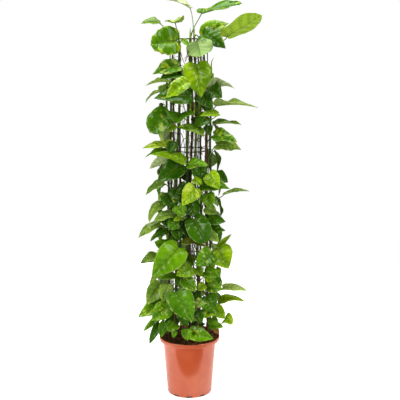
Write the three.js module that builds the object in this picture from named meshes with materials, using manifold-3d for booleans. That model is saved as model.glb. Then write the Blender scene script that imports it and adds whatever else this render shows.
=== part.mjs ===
// A golden pothos trained up a wire column in a filled plastic pot.
// Millimetres, +Z up, the front is -Y. The origin is the centre of the pot's resting face.

import * as THREE from "three";
import { mergeVertices } from "three/addons/utils/BufferGeometryUtils.js";
import Module from "manifold-3d";

// Pot: a straight taper, then a ledge out to a tall band round the mouth, and small
// drain notches at its foot.
const POT_HEIGHT = 232;
const RIM_RADIUS = 120;
const FOOT_RADIUS = 88;
const LEDGE_FOOT = 213;
const LEDGE_OUT = 15;
const LEDGE_RISE = 3.5;
const BAND_WALL = 3.6;
const POT_WALL = 2.8;
const POT_FLOOR = 4;
// Band's round outer edge, as steps in from the rim's radius and down from its top.
const BAND_EDGE = [
  [2, 16.5],
  [0, 14],
  [0, 3],
  [1.8, 0],
  [BAND_WALL, 1.2],
];
const POT_SIDES = 32;
const NOTCHES = 10;
const NOTCH = { width: 9, depth: 12, height: 5 };

// Soil: fills the pot to just under the lip.
const SOIL_TOP = 221;
const HOLE_FLOOR = 160;
const HOLE_SIDES = 6;
const HOLE_CLEARS_TOP = 10;
const GAP = 0.3;

// Column: upright wires, three rings, and a wire tie round each stem at the middle ring.
const COLUMN_RADIUS = 70;
const UPRIGHTS = 6;
const WIRE_RADIUS = 1.7;
const WIRE_SIDES = 4;
const COLUMN_TOP = 1396;
// Rings: the middle one is where the stems are tied.
const RINGS = [
  { height: 557, tied: false },
  { height: 975, tied: true },
  { height: 1392, tied: false },
];
const RING_SIDES = 16;
const TIE_HEIGHT = 3;
const TIE_BAND = 1.6;
const TIE_SLACK = 1.4;
const TIE_SEGMENTS = 2;

// Vines: where each stem leaves the soil (degrees from the front, towards +X),
// how far it winds round by its tip, its tip's height and its thickness.
const VINE_CIRCLE = 83;
const STRAIGHT_TO = 262;
const WINDING_HEIGHT = 1400;
const SWAY_EASED_OVER = 150;
const STEM_OVERLAP = 6;
const VINES = [
  { angle: -75, winds: 32, top: 1338, radius: 4.0 },
  { angle: -42, winds: 19, top: 1388, radius: 5.0 },
  { angle: -8, winds: 10, top: 1398, radius: 5.4 },
  { angle: 24, winds: -9, top: 1404, radius: 4.6 },
  { angle: 62, winds: -18, top: 1346, radius: 4.4 },
  { angle: 98, winds: -12, top: 1290, radius: 4.0 },
  { angle: 150, winds: -4, top: 1350, radius: 4.0 },
  { angle: 180, winds: -8, top: 1372, radius: 4.4 },
  { angle: -142, winds: 10, top: 1330, radius: 4.0 },
  { angle: -108, winds: 12, top: 1262, radius: 3.8 },
];
const STEM_SIDES = 5;
const STEM_STEP = 125;
const SWAY = { out: 2.2, outPitch: 74, round: 2.6, roundPitch: 118 };

// Leaves: a heart-shaped blade, folded along its midrib, bowed and waved, on a stalk.
const BLADE_THICKNESS = 1.2;
const FOLD = THREE.MathUtils.degToRad(11);
const WAVE = 0.045;
const DEFAULT_BOW = 0.16;
const STALK_RADIUS = 2.6;
const SHORT_STALK = 60;
const LONG_STALK = 140;
const STALK_CORNER = 0.8;
const LAST_STALK_RING = 0.94;
const NECK_HALF = 2.2;
// Stalk: how far below the blade it leaves the stem, and how its curve sets out and arrives.
const STALK_DROP = { least: 22, share: 0.42 };
const STALK_OVER_SOIL = 14;
const STALK_UNDER_TOP = 4;
const TIE_CLEAR = { below: 20, above: 7 };
const STALK_CURVE = { lean: 0.25, rise: 0.2, arrive: 0.16, behind: 0.2 };
// A wave of the margin: waves along the blade, its shift from leaf to leaf and from side to side.
const WAVE_PHASE = { along: 1.7, leaf: 0.31, side: 0.45 };
// Blade forms. Half of the outline: share of its length from the stalk, share of its half
// width. Then the shares at which its midrib bends, and the triangles from outline to midrib,
// where n is the neck, m0 and m1 are midrib points, t is the tip and a number is an outline point.
const BROAD_FAN = ["n 1 2", "n 2 m0", "m0 2 3", "m0 3 4", "m0 4 m1", "m1 4 5", "m1 5 t"];
const SMALL_FAN = ["n 1 2", "n 2 m0", "m0 2 3", "m0 3 4", "m0 4 t"];
const TINY_FAN = ["n 1 2", "n 2 m0", "m0 2 3", "m0 3 t"];
const FORMS = {
  broad: {
    outline: [
      [-0.07, 0.36],
      [-0.01, 0.76],
      [0.22, 1.0],
      [0.5, 0.86],
      [0.78, 0.42],
    ],
    midrib: [0.2, 0.5],
    fan: BROAD_FAN,
  },
  round: {
    outline: [
      [-0.09, 0.34],
      [-0.01, 0.74],
      [0.26, 1.0],
      [0.6, 0.95],
      [0.87, 0.55],
    ],
    midrib: [0.24, 0.6],
    fan: BROAD_FAN,
  },
  small: {
    outline: [
      [-0.06, 0.42],
      [0.09, 0.92],
      [0.42, 0.93],
      [0.76, 0.46],
    ],
    midrib: [0.42],
    fan: SMALL_FAN,
  },
  oval: {
    outline: [
      [0.02, 0.36],
      [0.22, 0.86],
      [0.6, 1.0],
      [0.88, 0.62],
    ],
    midrib: [0.5],
    fan: SMALL_FAN,
  },
  tiny: {
    outline: [
      [-0.04, 0.5],
      [0.2, 1.0],
      [0.66, 0.66],
    ],
    midrib: [0.34],
    fan: TINY_FAN,
  },
};
const SMALL_FROM = 61;
const BROAD_FROM = 98;

// Room kept between leaves, and how far a leaf may move along the line of sight to find it.
const ROOM = { blade: 3.8, stalk: 3.5 };
const MOVE = 10;
const MOST_MOVES = 8;
const LEAST_OVERLAP = 0.001;
// A leaf belongs to the nearest vine whose tip is at most this far below it.
const MOST_OVER_TOP = 60;

// The leaves below are placed as they are seen from the front, by a viewer at this point:
// x and z are read in the plane of the column's axis, and y is the depth they lie at.
const VIEWER = new THREE.Vector3(42, -3300, 1420);

// One row a leaf: stalk end x, z, y, tip x, z, y, width, turn of the face from up (0)
// to the front (90) or to the back (less than 0), then what differs from the rule.
const FRONT_LEAVES = [
  // Crown
  [48, 1484, -20, 198, 1521, -40, 86, 22, { vine: 3, from: 1392, form: "oval" }],
  [143, 1398, -30, 273, 1477, -55, 78, -50, { vine: 5, from: 1336, bow: 0.06, form: "oval" }],
  [52, 1402, 15, 150, 1448, 5, 84, 48, { vine: 4, from: 1396 }],
  [52, 1408, -70, 138, 1356, -95, 84, 54, { vine: 4, from: 1370 }],
  [32, 1384, -60, 44, 1326, -120, 108, -70, { vine: 4, from: 1362 }],
  [-44, 1384, -70, -143, 1370, -85, 112, 74, { vine: 2, from: 1350, form: "round" }],
  [-108, 1449, -20, -178, 1447, -30, 52, 28, { vine: 2, from: 1384 }],
  [-50, 1449, -25, -54, 1452, -110, 76, 0, { vine: 2, from: 1378, roll: 10 }],
  [5, 1504, -30, -82, 1533, -20, 60, 4, { vine: 4, from: 1400 }],
  [-22, 1388, -95, 2, 1363, -105, 22, 60, { vine: 2, from: 1360 }],
  // Upper third
  [28, 1297, -100, 46, 1173, -120, 108, 80, { vine: 4 }],
  [-35, 1290, -100, -136, 1260, -115, 75, 45, { vine: 2 }],
  [-30, 1262, -90, -108, 1243, -100, 66, 40],
  [-72, 1232, -60, -163, 1217, -70, 66, -14],
  [-8, 1232, -125, -88, 1171, -140, 62, 60, { vine: 3 }],
  [-98, 1196, -30, -164, 1153, -40, 44, 6, { bow: 0.3 }],
  [72, 1215, -60, 173, 1208, -75, 78, -26, { bow: 0.2 }],
  [80, 1203, -80, 125, 1172, -95, 72, 55],
  [6, 1178, -120, -132, 1170, -140, 84, 56, { vine: 3 }],
  [35, 1182, -90, 92, 1130, -105, 62, 50],
  [-80, 1112, -70, -149, 1040, -90, 96, 62, { form: "round" }],
  [-32, 1112, -95, -42, 1074, -190, 104, 0, { vine: 3, bow: 0.1 }],
  [112, 1112, -90, 40, 1103, -120, 34, 50, { vine: 5 }],
  [105, 1143, -10, 262, 1134, -30, 108, -6, { vine: 6, bow: 0.12 }],
  [95, 1072, -20, 200, 1070, -30, 78, 5, { vine: 6, bow: 0.12 }],
  [54, 1036, -105, -46, 1061, -130, 58, 35, { vine: 4 }],
  [72, 1098, -75, 20, 1064, -85, 58, 55],
  [95, 1030, -85, 184, 1004, -100, 64, 44],
  [105, 992, -65, 200, 974, -80, 74, 36, { vine: 5, from: 902 }],
  [-78, 1052, -30, -108, 1006, -45, 42, 45],
  [-68, 1044, -40, -98, 1008, -50, 46, -60],
  [-52, 1068, -95, -76, 1042, -105, 26, 60],
  [-20, 1205, -60, -70, 1150, -72, 62, 66],
  [62, 1166, -62, 78, 1108, -74, 50, 70],
  [28, 1098, -50, 30, 1062, -60, 44, 74],
  [72, 1066, -60, 76, 1030, -68, 36, 66],
  // Middle
  [-62, 985, -60, -178, 980, -75, 70, 24, { bow: 0.12 }],
  [-82, 972, -90, -168, 945, -105, 44, 12],
  [-62, 1004, -95, -72, 958, -110, 44, 72],
  [-18, 928, -100, -150, 957, -120, 66, 25, { bow: 0.1 }],
  [-68, 943, -70, -151, 901, -85, 72, -48],
  [-28, 917, -90, -122, 850, -105, 88, 62],
  [-96, 843, -50, -168, 797, -60, 48, 25, { bow: 0.25 }],
  [-2, 914, -110, 75, 912, -135, 60, 34],
  [38, 907, -95, 44, 857, -115, 58, 76, { form: "round" }],
  [76, 880, -100, 117, 821, -120, 64, 76],
  [104, 880, -70, 150, 847, -85, 50, 70],
  [18, 860, -120, 50, 840, -135, 30, 60, { form: "round" }],
  [100, 843, -90, 148, 826, -105, 38, 50],
  [24, 826, -130, -27, 756, -155, 72, 68, { vine: 3 }],
  [0, 823, -95, -56, 800, -105, 40, 40],
  [42, 832, -110, 157, 822, -125, 78, 34],
  [135, 801, -20, 233, 813, -30, 54, 4, { vine: 6, bow: 0.12 }],
  [68, 802, -100, 84, 748, -115, 58, 78],
  [66, 750, -90, 107, 722, -105, 50, 65],
  [-82, 808, -80, -52, 744, -95, 78, 72],
  [-95, 803, -50, -120, 776, -60, 30, 50],
  [-98, 762, -60, -155, 690, -75, 56, 22, { bow: 0.4 }],
  [-42, 757, -110, -20, 712, -130, 58, 76],
  [-60, 722, -85, -139, 693, -100, 58, 32],
  [-92, 706, -75, -86, 672, -90, 44, 75],
  [2, 765, -90, 32, 706, -105, 68, 66],
  [-30, 708, -105, -62, 695, -115, 30, 40],
  [68, 695, -80, 142, 692, -95, 64, 44],
  [72, 652, -85, 141, 657, -100, 56, 36],
  [20, 704, -115, 66, 606, -145, 94, 76, { form: "round" }],
  [-40, 700, -95, -82, 660, -110, 60, 60],
  [-50, 668, -90, -36, 615, -100, 50, 70],
  [-22, 695, -80, 16, 618, -90, 52, 68],
  [-20, 900, -40, 0, 846, -50, 56, 68],
  [-66, 655, -50, -74, 600, -60, 48, 66],
  [-2, 692, -35, -18, 610, -45, 60, 74],
  // Lower third
  [-112, 681, -40, -198, 628, -55, 52, 32, { bow: 0.25 }],
  [-84, 655, -60, -152, 614, -75, 48, 26, { bow: 0.22 }],
  [-42, 588, -115, -149, 470, -150, 112, 78],
  [-100, 598, -70, -136, 612, -80, 44, 70],
  [-128, 556, -50, -192, 525, -65, 46, 45],
  [113, 592, -50, 165, 643, -60, 24, 60, { vine: 6, bow: 0.05 }],
  [88, 566, -95, 24, 513, -120, 76, 68],
  [112, 582, -70, 154, 503, -95, 98, 76],
  [8, 510, -125, -52, 474, -150, 72, 66],
  [64, 652, -100, 118, 612, -115, 44, 62],
  [-25, 612, -110, 66, 592, -125, 50, 20],
  [-48, 612, -80, -100, 604, -90, 50, 50],
  [-100, 498, -60, -158, 428, -75, 42, 14, { bow: 0.2 }],
  [-52, 468, -85, -126, 462, -100, 56, 22],
  [60, 490, -95, 119, 471, -110, 56, 42],
  [80, 482, -110, 72, 445, -120, 46, 66],
  // Foot
  [-114, 440, -70, -170, 356, -90, 72, 66],
  [98, 476, -40, 116, 436, -48, 40, 60],
  [-86, 440, -90, -106, 366, -105, 54, 70],
  [-90, 372, -80, -204, 304, -105, 76, 56],
  [-84, 350, -105, -150, 290, -125, 76, 66],
  [-50, 408, -130, 13, 284, -165, 108, 80],
  [-18, 462, -115, 26, 413, -140, 58, 72],
  [58, 440, -110, 32, 413, -125, 38, 66],
  [72, 430, -95, 134, 418, -110, 50, 56],
  [132, 426, -40, 228, 414, -55, 46, 28, { vine: 6, bow: 0.12 }],
  [118, 367, -30, 220, 369, -45, 48, 16, { vine: 6, bow: 0.3 }],
  [64, 388, -100, 102, 322, -120, 74, 73],
  [50, 374, -140, 16, 341, -155, 38, 62, { vine: 3 }],
  [14, 398, -95, 46, 346, -110, 52, 62],
  [100, 345, -70, 141, 297, -85, 52, 66],
  [141, 284, -50, 172, 276, -70, 34, 40, { vine: 6, bow: 0.75 }],
  [78, 336, -115, 60, 303, -130, 54, 76],
  [-45, 300, -110, -98, 288, -125, 46, 46],
  [-118, 277, -80, -160, 191, -105, 36, 52, { bow: 0.25 }],
  [-122, 300, -70, -184, 244, -85, 32, 42],
  [-98, 285, -95, -116, 217, -115, 38, 66],
  [-56, 280, -100, -88, 244, -120, 54, 62],
  [-58, 246, -115, -65, 217, -130, 24, 62],
  [-12, 254, -125, -8, 206, -140, 46, 79],
  [6, 242, -120, 98, 213, -150, 62, 66],
  [10, 262, -95, 64, 276, -105, 42, 45],
  [82, 272, -80, 136, 262, -95, 42, 46],
  [98, 262, -50, 118, 232, -60, 26, 60],
  [0, 404, -50, 6, 338, -62, 52, 72],
  [-30, 330, -60, -10, 262, -75, 52, 68],
  [36, 330, -62, 44, 276, -76, 44, 68],
  [88, 300, -50, 104, 256, -60, 44, 66],
];

// Leaves beside and behind the column: a rule with a seeded draw, storey by storey up
// each vine there. aim is the direction a stalk points in, in degrees from +X towards +Y.
const BEHIND = {
  reach: [30, 62],
  length: [78, 122],
  droop: [12, 66],
  turn: [34, 66],
  swing: 26,
  upTo: 1450,
};
const BESIDE = {
  reach: [18, 34],
  length: [76, 108],
  droop: [72, 86],
  turn: [66, 86],
  swing: 20,
  upTo: 1180,
};
const RULED_ROWS = [
  { vine: 6, aim: 72, facing: [1, 0.25], first: 350, pitch: 124, habit: BEHIND },
  { vine: 7, aim: 83, facing: [0.45, 1], first: 379, pitch: 124, habit: BEHIND },
  { vine: 8, aim: 90, facing: [0, 1], first: 292, pitch: 108, habit: BEHIND },
  { vine: 9, aim: 98, facing: [-0.45, 1], first: 321, pitch: 124, habit: BEHIND },
  { vine: 10, aim: 106, facing: [-1, 0.25], first: 350, pitch: 124, habit: BEHIND },
  { vine: 6, aim: 36, facing: [1, 0.2], first: 412, pitch: 186, habit: BESIDE },
  { vine: 6, aim: -38, facing: [1, -0.2], first: 322, pitch: 186, habit: BESIDE },
  { vine: 10, aim: 144, facing: [-1, 0.2], first: 396, pitch: 186, habit: BESIDE },
  { vine: 10, aim: -142, facing: [-1, -0.2], first: 306, pitch: 186, habit: BESIDE },
];
const RULE = { widthShare: 0.72, leastSwing: 0.3, jitter: 14, overTop: 40, sideLimit: 118, seed: 20917 };
// Heights at which the column is open to the light, with no leaf behind its middle.
const OPEN_STOREYS = [
  [820, 872],
  [985, 1058],
  [1300, 1366],
];
const OPEN_HALF_WIDTH = 74;

const UP = new THREE.Vector3(0, 0, 1);
const FRONT = new THREE.Vector3(0, -1, 0);

const wasm = await Module();
wasm.setup();

function vec(x, y, z) {
  return new THREE.Vector3(x, y, z);
}

function solidOf(geometry) {
  const plain = geometry.clone();
  plain.deleteAttribute("normal");
  plain.deleteAttribute("uv");
  const merged = mergeVertices(plain);
  return new wasm.Manifold(
    new wasm.Mesh({
      numProp: 3,
      vertProperties: new Float32Array(merged.attributes.position.array),
      triVerts: new Uint32Array(merged.index.array),
    }),
  );
}

function meshOf(name, solid, material) {
  const data = solid.getMesh();
  const geometry = new THREE.BufferGeometry();
  geometry.setAttribute("position", new THREE.BufferAttribute(new Float32Array(data.vertProperties), 3));
  geometry.setIndex(new THREE.BufferAttribute(new Uint32Array(data.triVerts), 1));
  geometry.computeVertexNormals();
  const mesh = new THREE.Mesh(geometry, material);
  mesh.name = name;
  return mesh;
}

function standingCylinder(radius, x, y, bottom, top, sides) {
  const geometry = new THREE.CylinderGeometry(radius, radius, top - bottom, sides);
  geometry.rotateX(Math.PI / 2);
  geometry.translate(x, y, (bottom + top) / 2);
  return geometry;
}

function tube(path, radius, sides, steps) {
  const section = new THREE.Shape();
  for (let i = 0; i < sides; i += 1) {
    const angle = (i * 2 * Math.PI) / sides;
    const move = i === 0 ? "moveTo" : "lineTo";
    section[move](radius * Math.cos(angle), radius * Math.sin(angle));
  }
  section.closePath();
  return new THREE.ExtrudeGeometry(section, { steps, extrudePath: path, bevelEnabled: false });
}

function lathe(profile) {
  const points = profile.map(([radius, height]) => new THREE.Vector2(radius, height));
  const geometry = new THREE.LatheGeometry(points, POT_SIDES);
  geometry.rotateX(Math.PI / 2);
  return geometry;
}

// Radius of the pot's outer wall at a height, and the same inside it.
function wallRadius(height) {
  return FOOT_RADIUS + ((RIM_RADIUS - LEDGE_OUT - FOOT_RADIUS) * height) / LEDGE_FOOT;
}

function boreRadius(height) {
  return wallRadius(height) - POT_WALL;
}

// Inside of the pot from the floor's edge up to the band, shrunk by a gap for what fills it.
function innerProfile(gap) {
  const ledge = LEDGE_FOOT + POT_WALL;
  return [
    [boreRadius(POT_FLOOR) - gap, POT_FLOOR + gap],
    [boreRadius(LEDGE_FOOT) - gap, ledge + gap],
    [RIM_RADIUS - BAND_WALL - gap, ledge + LEDGE_RISE + gap],
  ];
}

function potSolid() {
  const shell = solidOf(
    lathe([
      [0, 0],
      [FOOT_RADIUS, 0],
      [wallRadius(LEDGE_FOOT), LEDGE_FOOT],
      ...BAND_EDGE.map(([inwards, down]) => [RIM_RADIUS - inwards, POT_HEIGHT - down]),
      ...innerProfile(0).reverse(),
      [0, POT_FLOOR],
    ]),
  );
  let pot = shell;
  for (let i = 0; i < NOTCHES; i += 1) {
    const cutter = new THREE.BoxGeometry(NOTCH.depth, NOTCH.width, NOTCH.height * 2);
    cutter.translate(FOOT_RADIUS, 0, 0);
    cutter.rotateZ(((i + 0.5) * 2 * Math.PI) / NOTCHES);
    pot = pot.subtract(solidOf(cutter));
  }
  return pot;
}

// A point on the axis of a vine's stem. The stem is plumb up to just over the soil.
function stemPoint(vine, height) {
  const climb = Math.max(0, height - STRAIGHT_TO);
  const ease = Math.min(1, climb / SWAY_EASED_OVER);
  const share = climb / (WINDING_HEIGHT - STRAIGHT_TO);
  const phase = vine.angle;
  const out = VINE_CIRCLE + ease * SWAY.out * Math.sin(height / SWAY.outPitch + phase);
  const round = ease * SWAY.round * Math.sin(height / SWAY.roundPitch + 2 * phase);
  const angle = THREE.MathUtils.degToRad(vine.angle + vine.winds * share + round);
  return vec(out * Math.sin(angle), -out * Math.cos(angle), height);
}

function stemSolid(vine) {
  const bottom = HOLE_FLOOR + GAP;
  const foot = stemPoint(vine, bottom);
  const steps = Math.round((vine.top - STRAIGHT_TO) / STEM_STEP);
  const points = [];
  for (let i = 0; i <= steps; i += 1) {
    points.push(stemPoint(vine, STRAIGHT_TO + ((vine.top - STRAIGHT_TO) * i) / steps));
  }
  const climbing = tube(new THREE.CatmullRomCurve3(points), vine.radius, STEM_SIDES, steps);
  const joint = STRAIGHT_TO + STEM_OVERLAP;
  const plumb = standingCylinder(vine.radius, foot.x, foot.y, bottom, joint, STEM_SIDES);
  return solidOf(climbing).add(solidOf(plumb));
}

function soilSolid() {
  let soil = solidOf(
    lathe([
      [0, POT_FLOOR + GAP],
      ...innerProfile(GAP),
      [RIM_RADIUS - BAND_WALL - GAP, SOIL_TOP],
      [0, SOIL_TOP],
    ]),
  );
  const holes = VINES.map((vine) => ({ at: stemPoint(vine, HOLE_FLOOR), radius: vine.radius }));
  for (let i = 0; i < UPRIGHTS; i += 1) holes.push({ at: uprightPlace(i), radius: WIRE_RADIUS });
  for (const { at, radius } of holes) {
    const clear = (radius + GAP) / Math.cos(Math.PI / HOLE_SIDES);
    const drill = standingCylinder(clear, at.x, at.y, HOLE_FLOOR, SOIL_TOP + HOLE_CLEARS_TOP, HOLE_SIDES);
    soil = soil.subtract(solidOf(drill));
  }
  return soil;
}

function uprightPlace(i) {
  const angle = ((i + 0.5) * 2 * Math.PI) / UPRIGHTS;
  return vec(COLUMN_RADIUS * Math.sin(angle), -COLUMN_RADIUS * Math.cos(angle), 0);
}

// A U of wire that leaves the ring, passes round the stem and comes back to the ring.
function tieGeometry(vine, height) {
  const at = stemPoint(vine, height);
  const distance = Math.hypot(at.x, at.y);
  const inner = vine.radius + TIE_SLACK;
  const outer = inner + TIE_BAND;
  const back = COLUMN_RADIUS - distance;
  const shape = new THREE.Shape();
  shape.moveTo(back, -outer);
  shape.lineTo(0, -outer);
  shape.absarc(0, 0, outer, -Math.PI / 2, Math.PI / 2, false);
  shape.lineTo(back, outer);
  shape.lineTo(back, inner);
  shape.lineTo(0, inner);
  shape.absarc(0, 0, inner, Math.PI / 2, -Math.PI / 2, true);
  shape.lineTo(back, -inner);
  shape.closePath();
  const geometry = new THREE.ExtrudeGeometry(shape, {
    depth: TIE_HEIGHT,
    bevelEnabled: false,
    curveSegments: TIE_SEGMENTS,
  });
  geometry.rotateZ(Math.atan2(at.y, at.x));
  geometry.translate(at.x, at.y, height - TIE_HEIGHT / 2);
  return geometry;
}

function columnSolid() {
  let column = null;
  for (const { height } of RINGS) {
    const ring = new THREE.TorusGeometry(COLUMN_RADIUS, WIRE_RADIUS, WIRE_SIDES, RING_SIDES);
    ring.translate(0, 0, height);
    const solid = solidOf(ring);
    column = column ? column.add(solid) : solid;
  }
  for (let i = 0; i < UPRIGHTS; i += 1) {
    const at = uprightPlace(i);
    const wire = standingCylinder(WIRE_RADIUS, at.x, at.y, HOLE_FLOOR + GAP, COLUMN_TOP, WIRE_SIDES);
    column = column.add(solidOf(wire));
  }
  for (const { height } of RINGS.filter((ring) => ring.tied)) {
    for (const vine of VINES) column = column.add(solidOf(tieGeometry(vine, height)));
  }
  return column;
}

// Carries a place seen in the axis plane along the line of sight to its depth.
function fromFront(x, z, depth) {
  const share = (depth - VIEWER.y) / -VIEWER.y;
  return vec(VIEWER.x + (x - VIEWER.x) * share, depth, VIEWER.z + (z - VIEWER.z) * share);
}

function frontLeaf(row) {
  const [x, z, y, tipX, tipZ, tipY, width, turn, options = {}] = row;
  const place = (moved) => ({
    base: fromFront(x, z, y + moved),
    tip: fromFront(tipX, tipZ, tipY + moved),
  });
  return { place, outward: FRONT, width, turn, ...options };
}

// A draw that gives the same numbers on every run, by multiplying and taking the remainder.
const DRAW_FACTOR = 16807;
const DRAW_MODULUS = 2 ** 31 - 1;

function seededDraw(seed) {
  let state = seed;
  return (low, high) => {
    state = (state * DRAW_FACTOR) % DRAW_MODULUS;
    return low + ((high - low) * state) / DRAW_MODULUS;
  };
}

function seenOpen(base, tip) {
  if (Math.min(Math.abs(base.x), Math.abs(tip.x)) > OPEN_HALF_WIDTH) return false;
  const low = Math.min(base.z, tip.z);
  const high = Math.max(base.z, tip.z);
  return OPEN_STOREYS.some(([from, to]) => high > from && low < to);
}

function ruledLeaf({ vine: number, aim, facing, habit }, height, side, draw) {
  const vine = VINES[number - 1];
  const swing = side * draw(RULE.leastSwing, 1) * habit.swing;
  const reach = draw(...habit.reach);
  const length = draw(...habit.length);
  const droop = THREE.MathUtils.degToRad(draw(...habit.droop));
  const turn = draw(...habit.turn);
  const root = stemPoint(vine, Math.min(height, vine.top));
  const pointing = (degrees) => {
    const angle = THREE.MathUtils.degToRad(aim + degrees);
    const outward = vec(Math.cos(angle), Math.sin(angle), 0);
    const base = vec(root.x, root.y, height).addScaledVector(outward, reach);
    const tip = base.clone().addScaledVector(outward, length * Math.cos(droop));
    tip.z -= length * Math.sin(droop);
    return { outward, base, tip };
  };
  let { outward, base, tip } = pointing(swing);
  if (Math.abs(tip.x) > RULE.sideLimit) ({ outward, base, tip } = pointing(-swing));
  const slide = habit === BESIDE ? UP : outward;
  const place = (moved) => ({
    base: base.clone().addScaledVector(slide, moved),
    tip: tip.clone().addScaledVector(slide, moved),
  });
  const face = vec(...facing, 0).normalize();
  return { place, outward: face, width: length * RULE.widthShare, turn, vine: number, behind: true };
}

function ruledLeaves() {
  const draw = seededDraw(RULE.seed);
  const found = [];
  for (const row of RULED_ROWS) {
    let side = row.vine % 2 ? 1 : -1;
    const top = Math.min(VINES[row.vine - 1].top + RULE.overTop, row.habit.upTo);
    for (let z = row.first; z < top; z += row.pitch) {
      const leaf = ruledLeaf(row, z + draw(-RULE.jitter, RULE.jitter), side, draw);
      side = -side;
      const { base, tip } = leaf.place(0);
      if (!seenOpen(base, tip)) found.push(leaf);
    }
  }
  return found;
}

function nearestVine(base) {
  let best = 1;
  let least = Infinity;
  VINES.forEach((vine, i) => {
    if (vine.top < base.z - MOST_OVER_TOP) return;
    const at = stemPoint(vine, Math.min(base.z, vine.top));
    const distance = Math.hypot(at.x - base.x, at.y - base.y);
    if (distance < least) {
      least = distance;
      best = i + 1;
    }
  });
  return best;
}

// Height at which a stalk leaves its stem: below the blade, and clear of the ties.
function stalkHeight(leaf, vine, base) {
  const at = stemPoint(vine, Math.min(base.z, vine.top));
  const distance = Math.hypot(at.x - base.x, at.y - base.y);
  let height = leaf.from ?? base.z - STALK_DROP.least - STALK_DROP.share * distance;
  height = Math.max(height, SOIL_TOP + STALK_OVER_SOIL);
  for (const ring of RINGS.filter((one) => one.tied)) {
    const clear = ring.height + TIE_CLEAR.above;
    if (height > ring.height - TIE_CLEAR.below && height < clear) height = clear;
  }
  return Math.min(height, vine.top - STALK_UNDER_TOP);
}

// The blade's midrib, its face and its width direction.
function bladeFrame(leaf, moved) {
  const { base, tip } = leaf.place(moved);
  const along = tip.clone().sub(base);
  const length = along.length();
  along.normalize();
  const turn = THREE.MathUtils.degToRad(leaf.turn);
  const face = UP.clone().multiplyScalar(Math.cos(turn)).addScaledVector(leaf.outward, Math.sin(turn));
  face.addScaledVector(along, -face.dot(along)).normalize();
  face.applyAxisAngle(along, THREE.MathUtils.degToRad(leaf.roll ?? 0));
  const across = along.clone().cross(face);
  const bow = leaf.bow ?? DEFAULT_BOW;
  const crest = base.clone().add(tip).multiplyScalar(0.5).addScaledVector(face, bow * length);
  return { base, tip, crest, face, across, along };
}

function midribPoint(frame, share) {
  const s = Math.max(0, share);
  const point = frame.base.clone().multiplyScalar((1 - s) ** 2);
  point.addScaledVector(frame.crest, 2 * s * (1 - s)).addScaledVector(frame.tip, s * s);
  const slope = frame.crest.clone().sub(frame.base).multiplyScalar(2 * (1 - s));
  slope.addScaledVector(frame.tip.clone().sub(frame.crest), 2 * s);
  point.addScaledVector(slope, share - s);
  const normal = frame.face.clone();
  normal.addScaledVector(slope, -normal.dot(slope) / slope.lengthSq()).normalize();
  return { point, normal };
}

function bladePoint(leaf, frame, share, halfShare, side) {
  const { point, normal } = midribPoint(frame, share);
  const half = (halfShare * leaf.width) / 2;
  const phase = WAVE_PHASE.along * share + WAVE_PHASE.leaf * leaf.index + (side > 0 ? 0 : WAVE_PHASE.side);
  const wave = WAVE * leaf.width * halfShare * Math.sin(2 * Math.PI * phase);
  point.addScaledVector(frame.across, side * half * Math.cos(FOLD));
  point.addScaledVector(normal, half * Math.sin(FOLD) + wave);
  return { point, normal };
}

// Two points either side of the midrib, where the stalk runs into the blade.
function neckSpot(leaf, frame, side) {
  return bladePoint(leaf, frame, 0, (2 * NECK_HALF) / leaf.width, side);
}

function bladeForm(leaf) {
  if (leaf.form) return FORMS[leaf.form];
  if (leaf.width < SMALL_FROM) return FORMS.tiny;
  return leaf.width < BROAD_FROM ? FORMS.small : FORMS.broad;
}

// The outline from the neck round the tip and back to the neck, then the midrib's points.
function bladeSpots(leaf, frame) {
  const { outline, midrib } = bladeForm(leaf);
  const edge = (side) => outline.map(([share, half]) => bladePoint(leaf, frame, share, half, side));
  return [
    neckSpot(leaf, frame, 1),
    ...edge(1),
    bladePoint(leaf, frame, 1, 0, 1),
    ...edge(-1).reverse(),
    neckSpot(leaf, frame, -1),
    ...midrib.map((share) => bladePoint(leaf, frame, share, 0, 1)),
  ];
}

// Triangles of one face, as numbers into the spots above.
function faceTriangles({ outline, fan }) {
  const tip = outline.length + 1;
  const last = 2 * tip;
  const names = { n: 0, t: tip, m0: last + 1, m1: last + 2 };
  const right = fan.map((corners) => corners.split(" ").map((name) => names[name] ?? Number(name)));
  const other = (i) => (i <= last ? last - i : i);
  const left = right.map(([a, b, c]) => [other(a), other(c), other(b)]);
  return [...right, ...left, [last, 0, names.m0]];
}

// Centre line of the stalk: up from the stem, then over into the blade from behind.
function stalkPath(leaf, frame) {
  const vine = VINES[leaf.vine - 1];
  const root = stemPoint(vine, stalkHeight(leaf, vine, frame.base));
  const span = frame.base.clone().sub(root);
  const reach = span.length();
  const rise = root.clone().addScaledVector(span, STALK_CURVE.lean);
  rise.addScaledVector(UP, STALK_CURVE.rise * reach);
  const neck = frame.base.clone().addScaledVector(frame.along, -STALK_CURVE.arrive * reach);
  neck.addScaledVector(frame.face, -STALK_CURVE.behind * reach);
  return new THREE.CubicBezierCurve3(root, rise, neck, frame.base.clone());
}

// Square rings along the stalk, each as the four corners that meet the blade's neck.
function stalkRings(leaf, frame, radius) {
  const path = stalkPath(leaf, frame);
  const length = path.getLength();
  const steps = 1 + (length > SHORT_STALK ? 1 : 0) + (length > LONG_STALK ? 1 : 0);
  const half = radius * STALK_CORNER;
  const rings = [];
  for (let i = 0; i < steps; i += 1) {
    const share = (i / steps) * LAST_STALK_RING;
    const centre = path.getPoint(share);
    const tangent = path.getTangent(share);
    const across = frame.across.clone().addScaledVector(tangent, -frame.across.dot(tangent)).normalize();
    const up = across.clone().cross(tangent);
    const corner = (a, b) => centre.clone().addScaledVector(across, a * half).addScaledVector(up, b * half);
    rings.push([corner(1, 1), corner(-1, 1), corner(-1, -1), corner(1, -1)]);
  }
  return rings;
}

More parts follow.
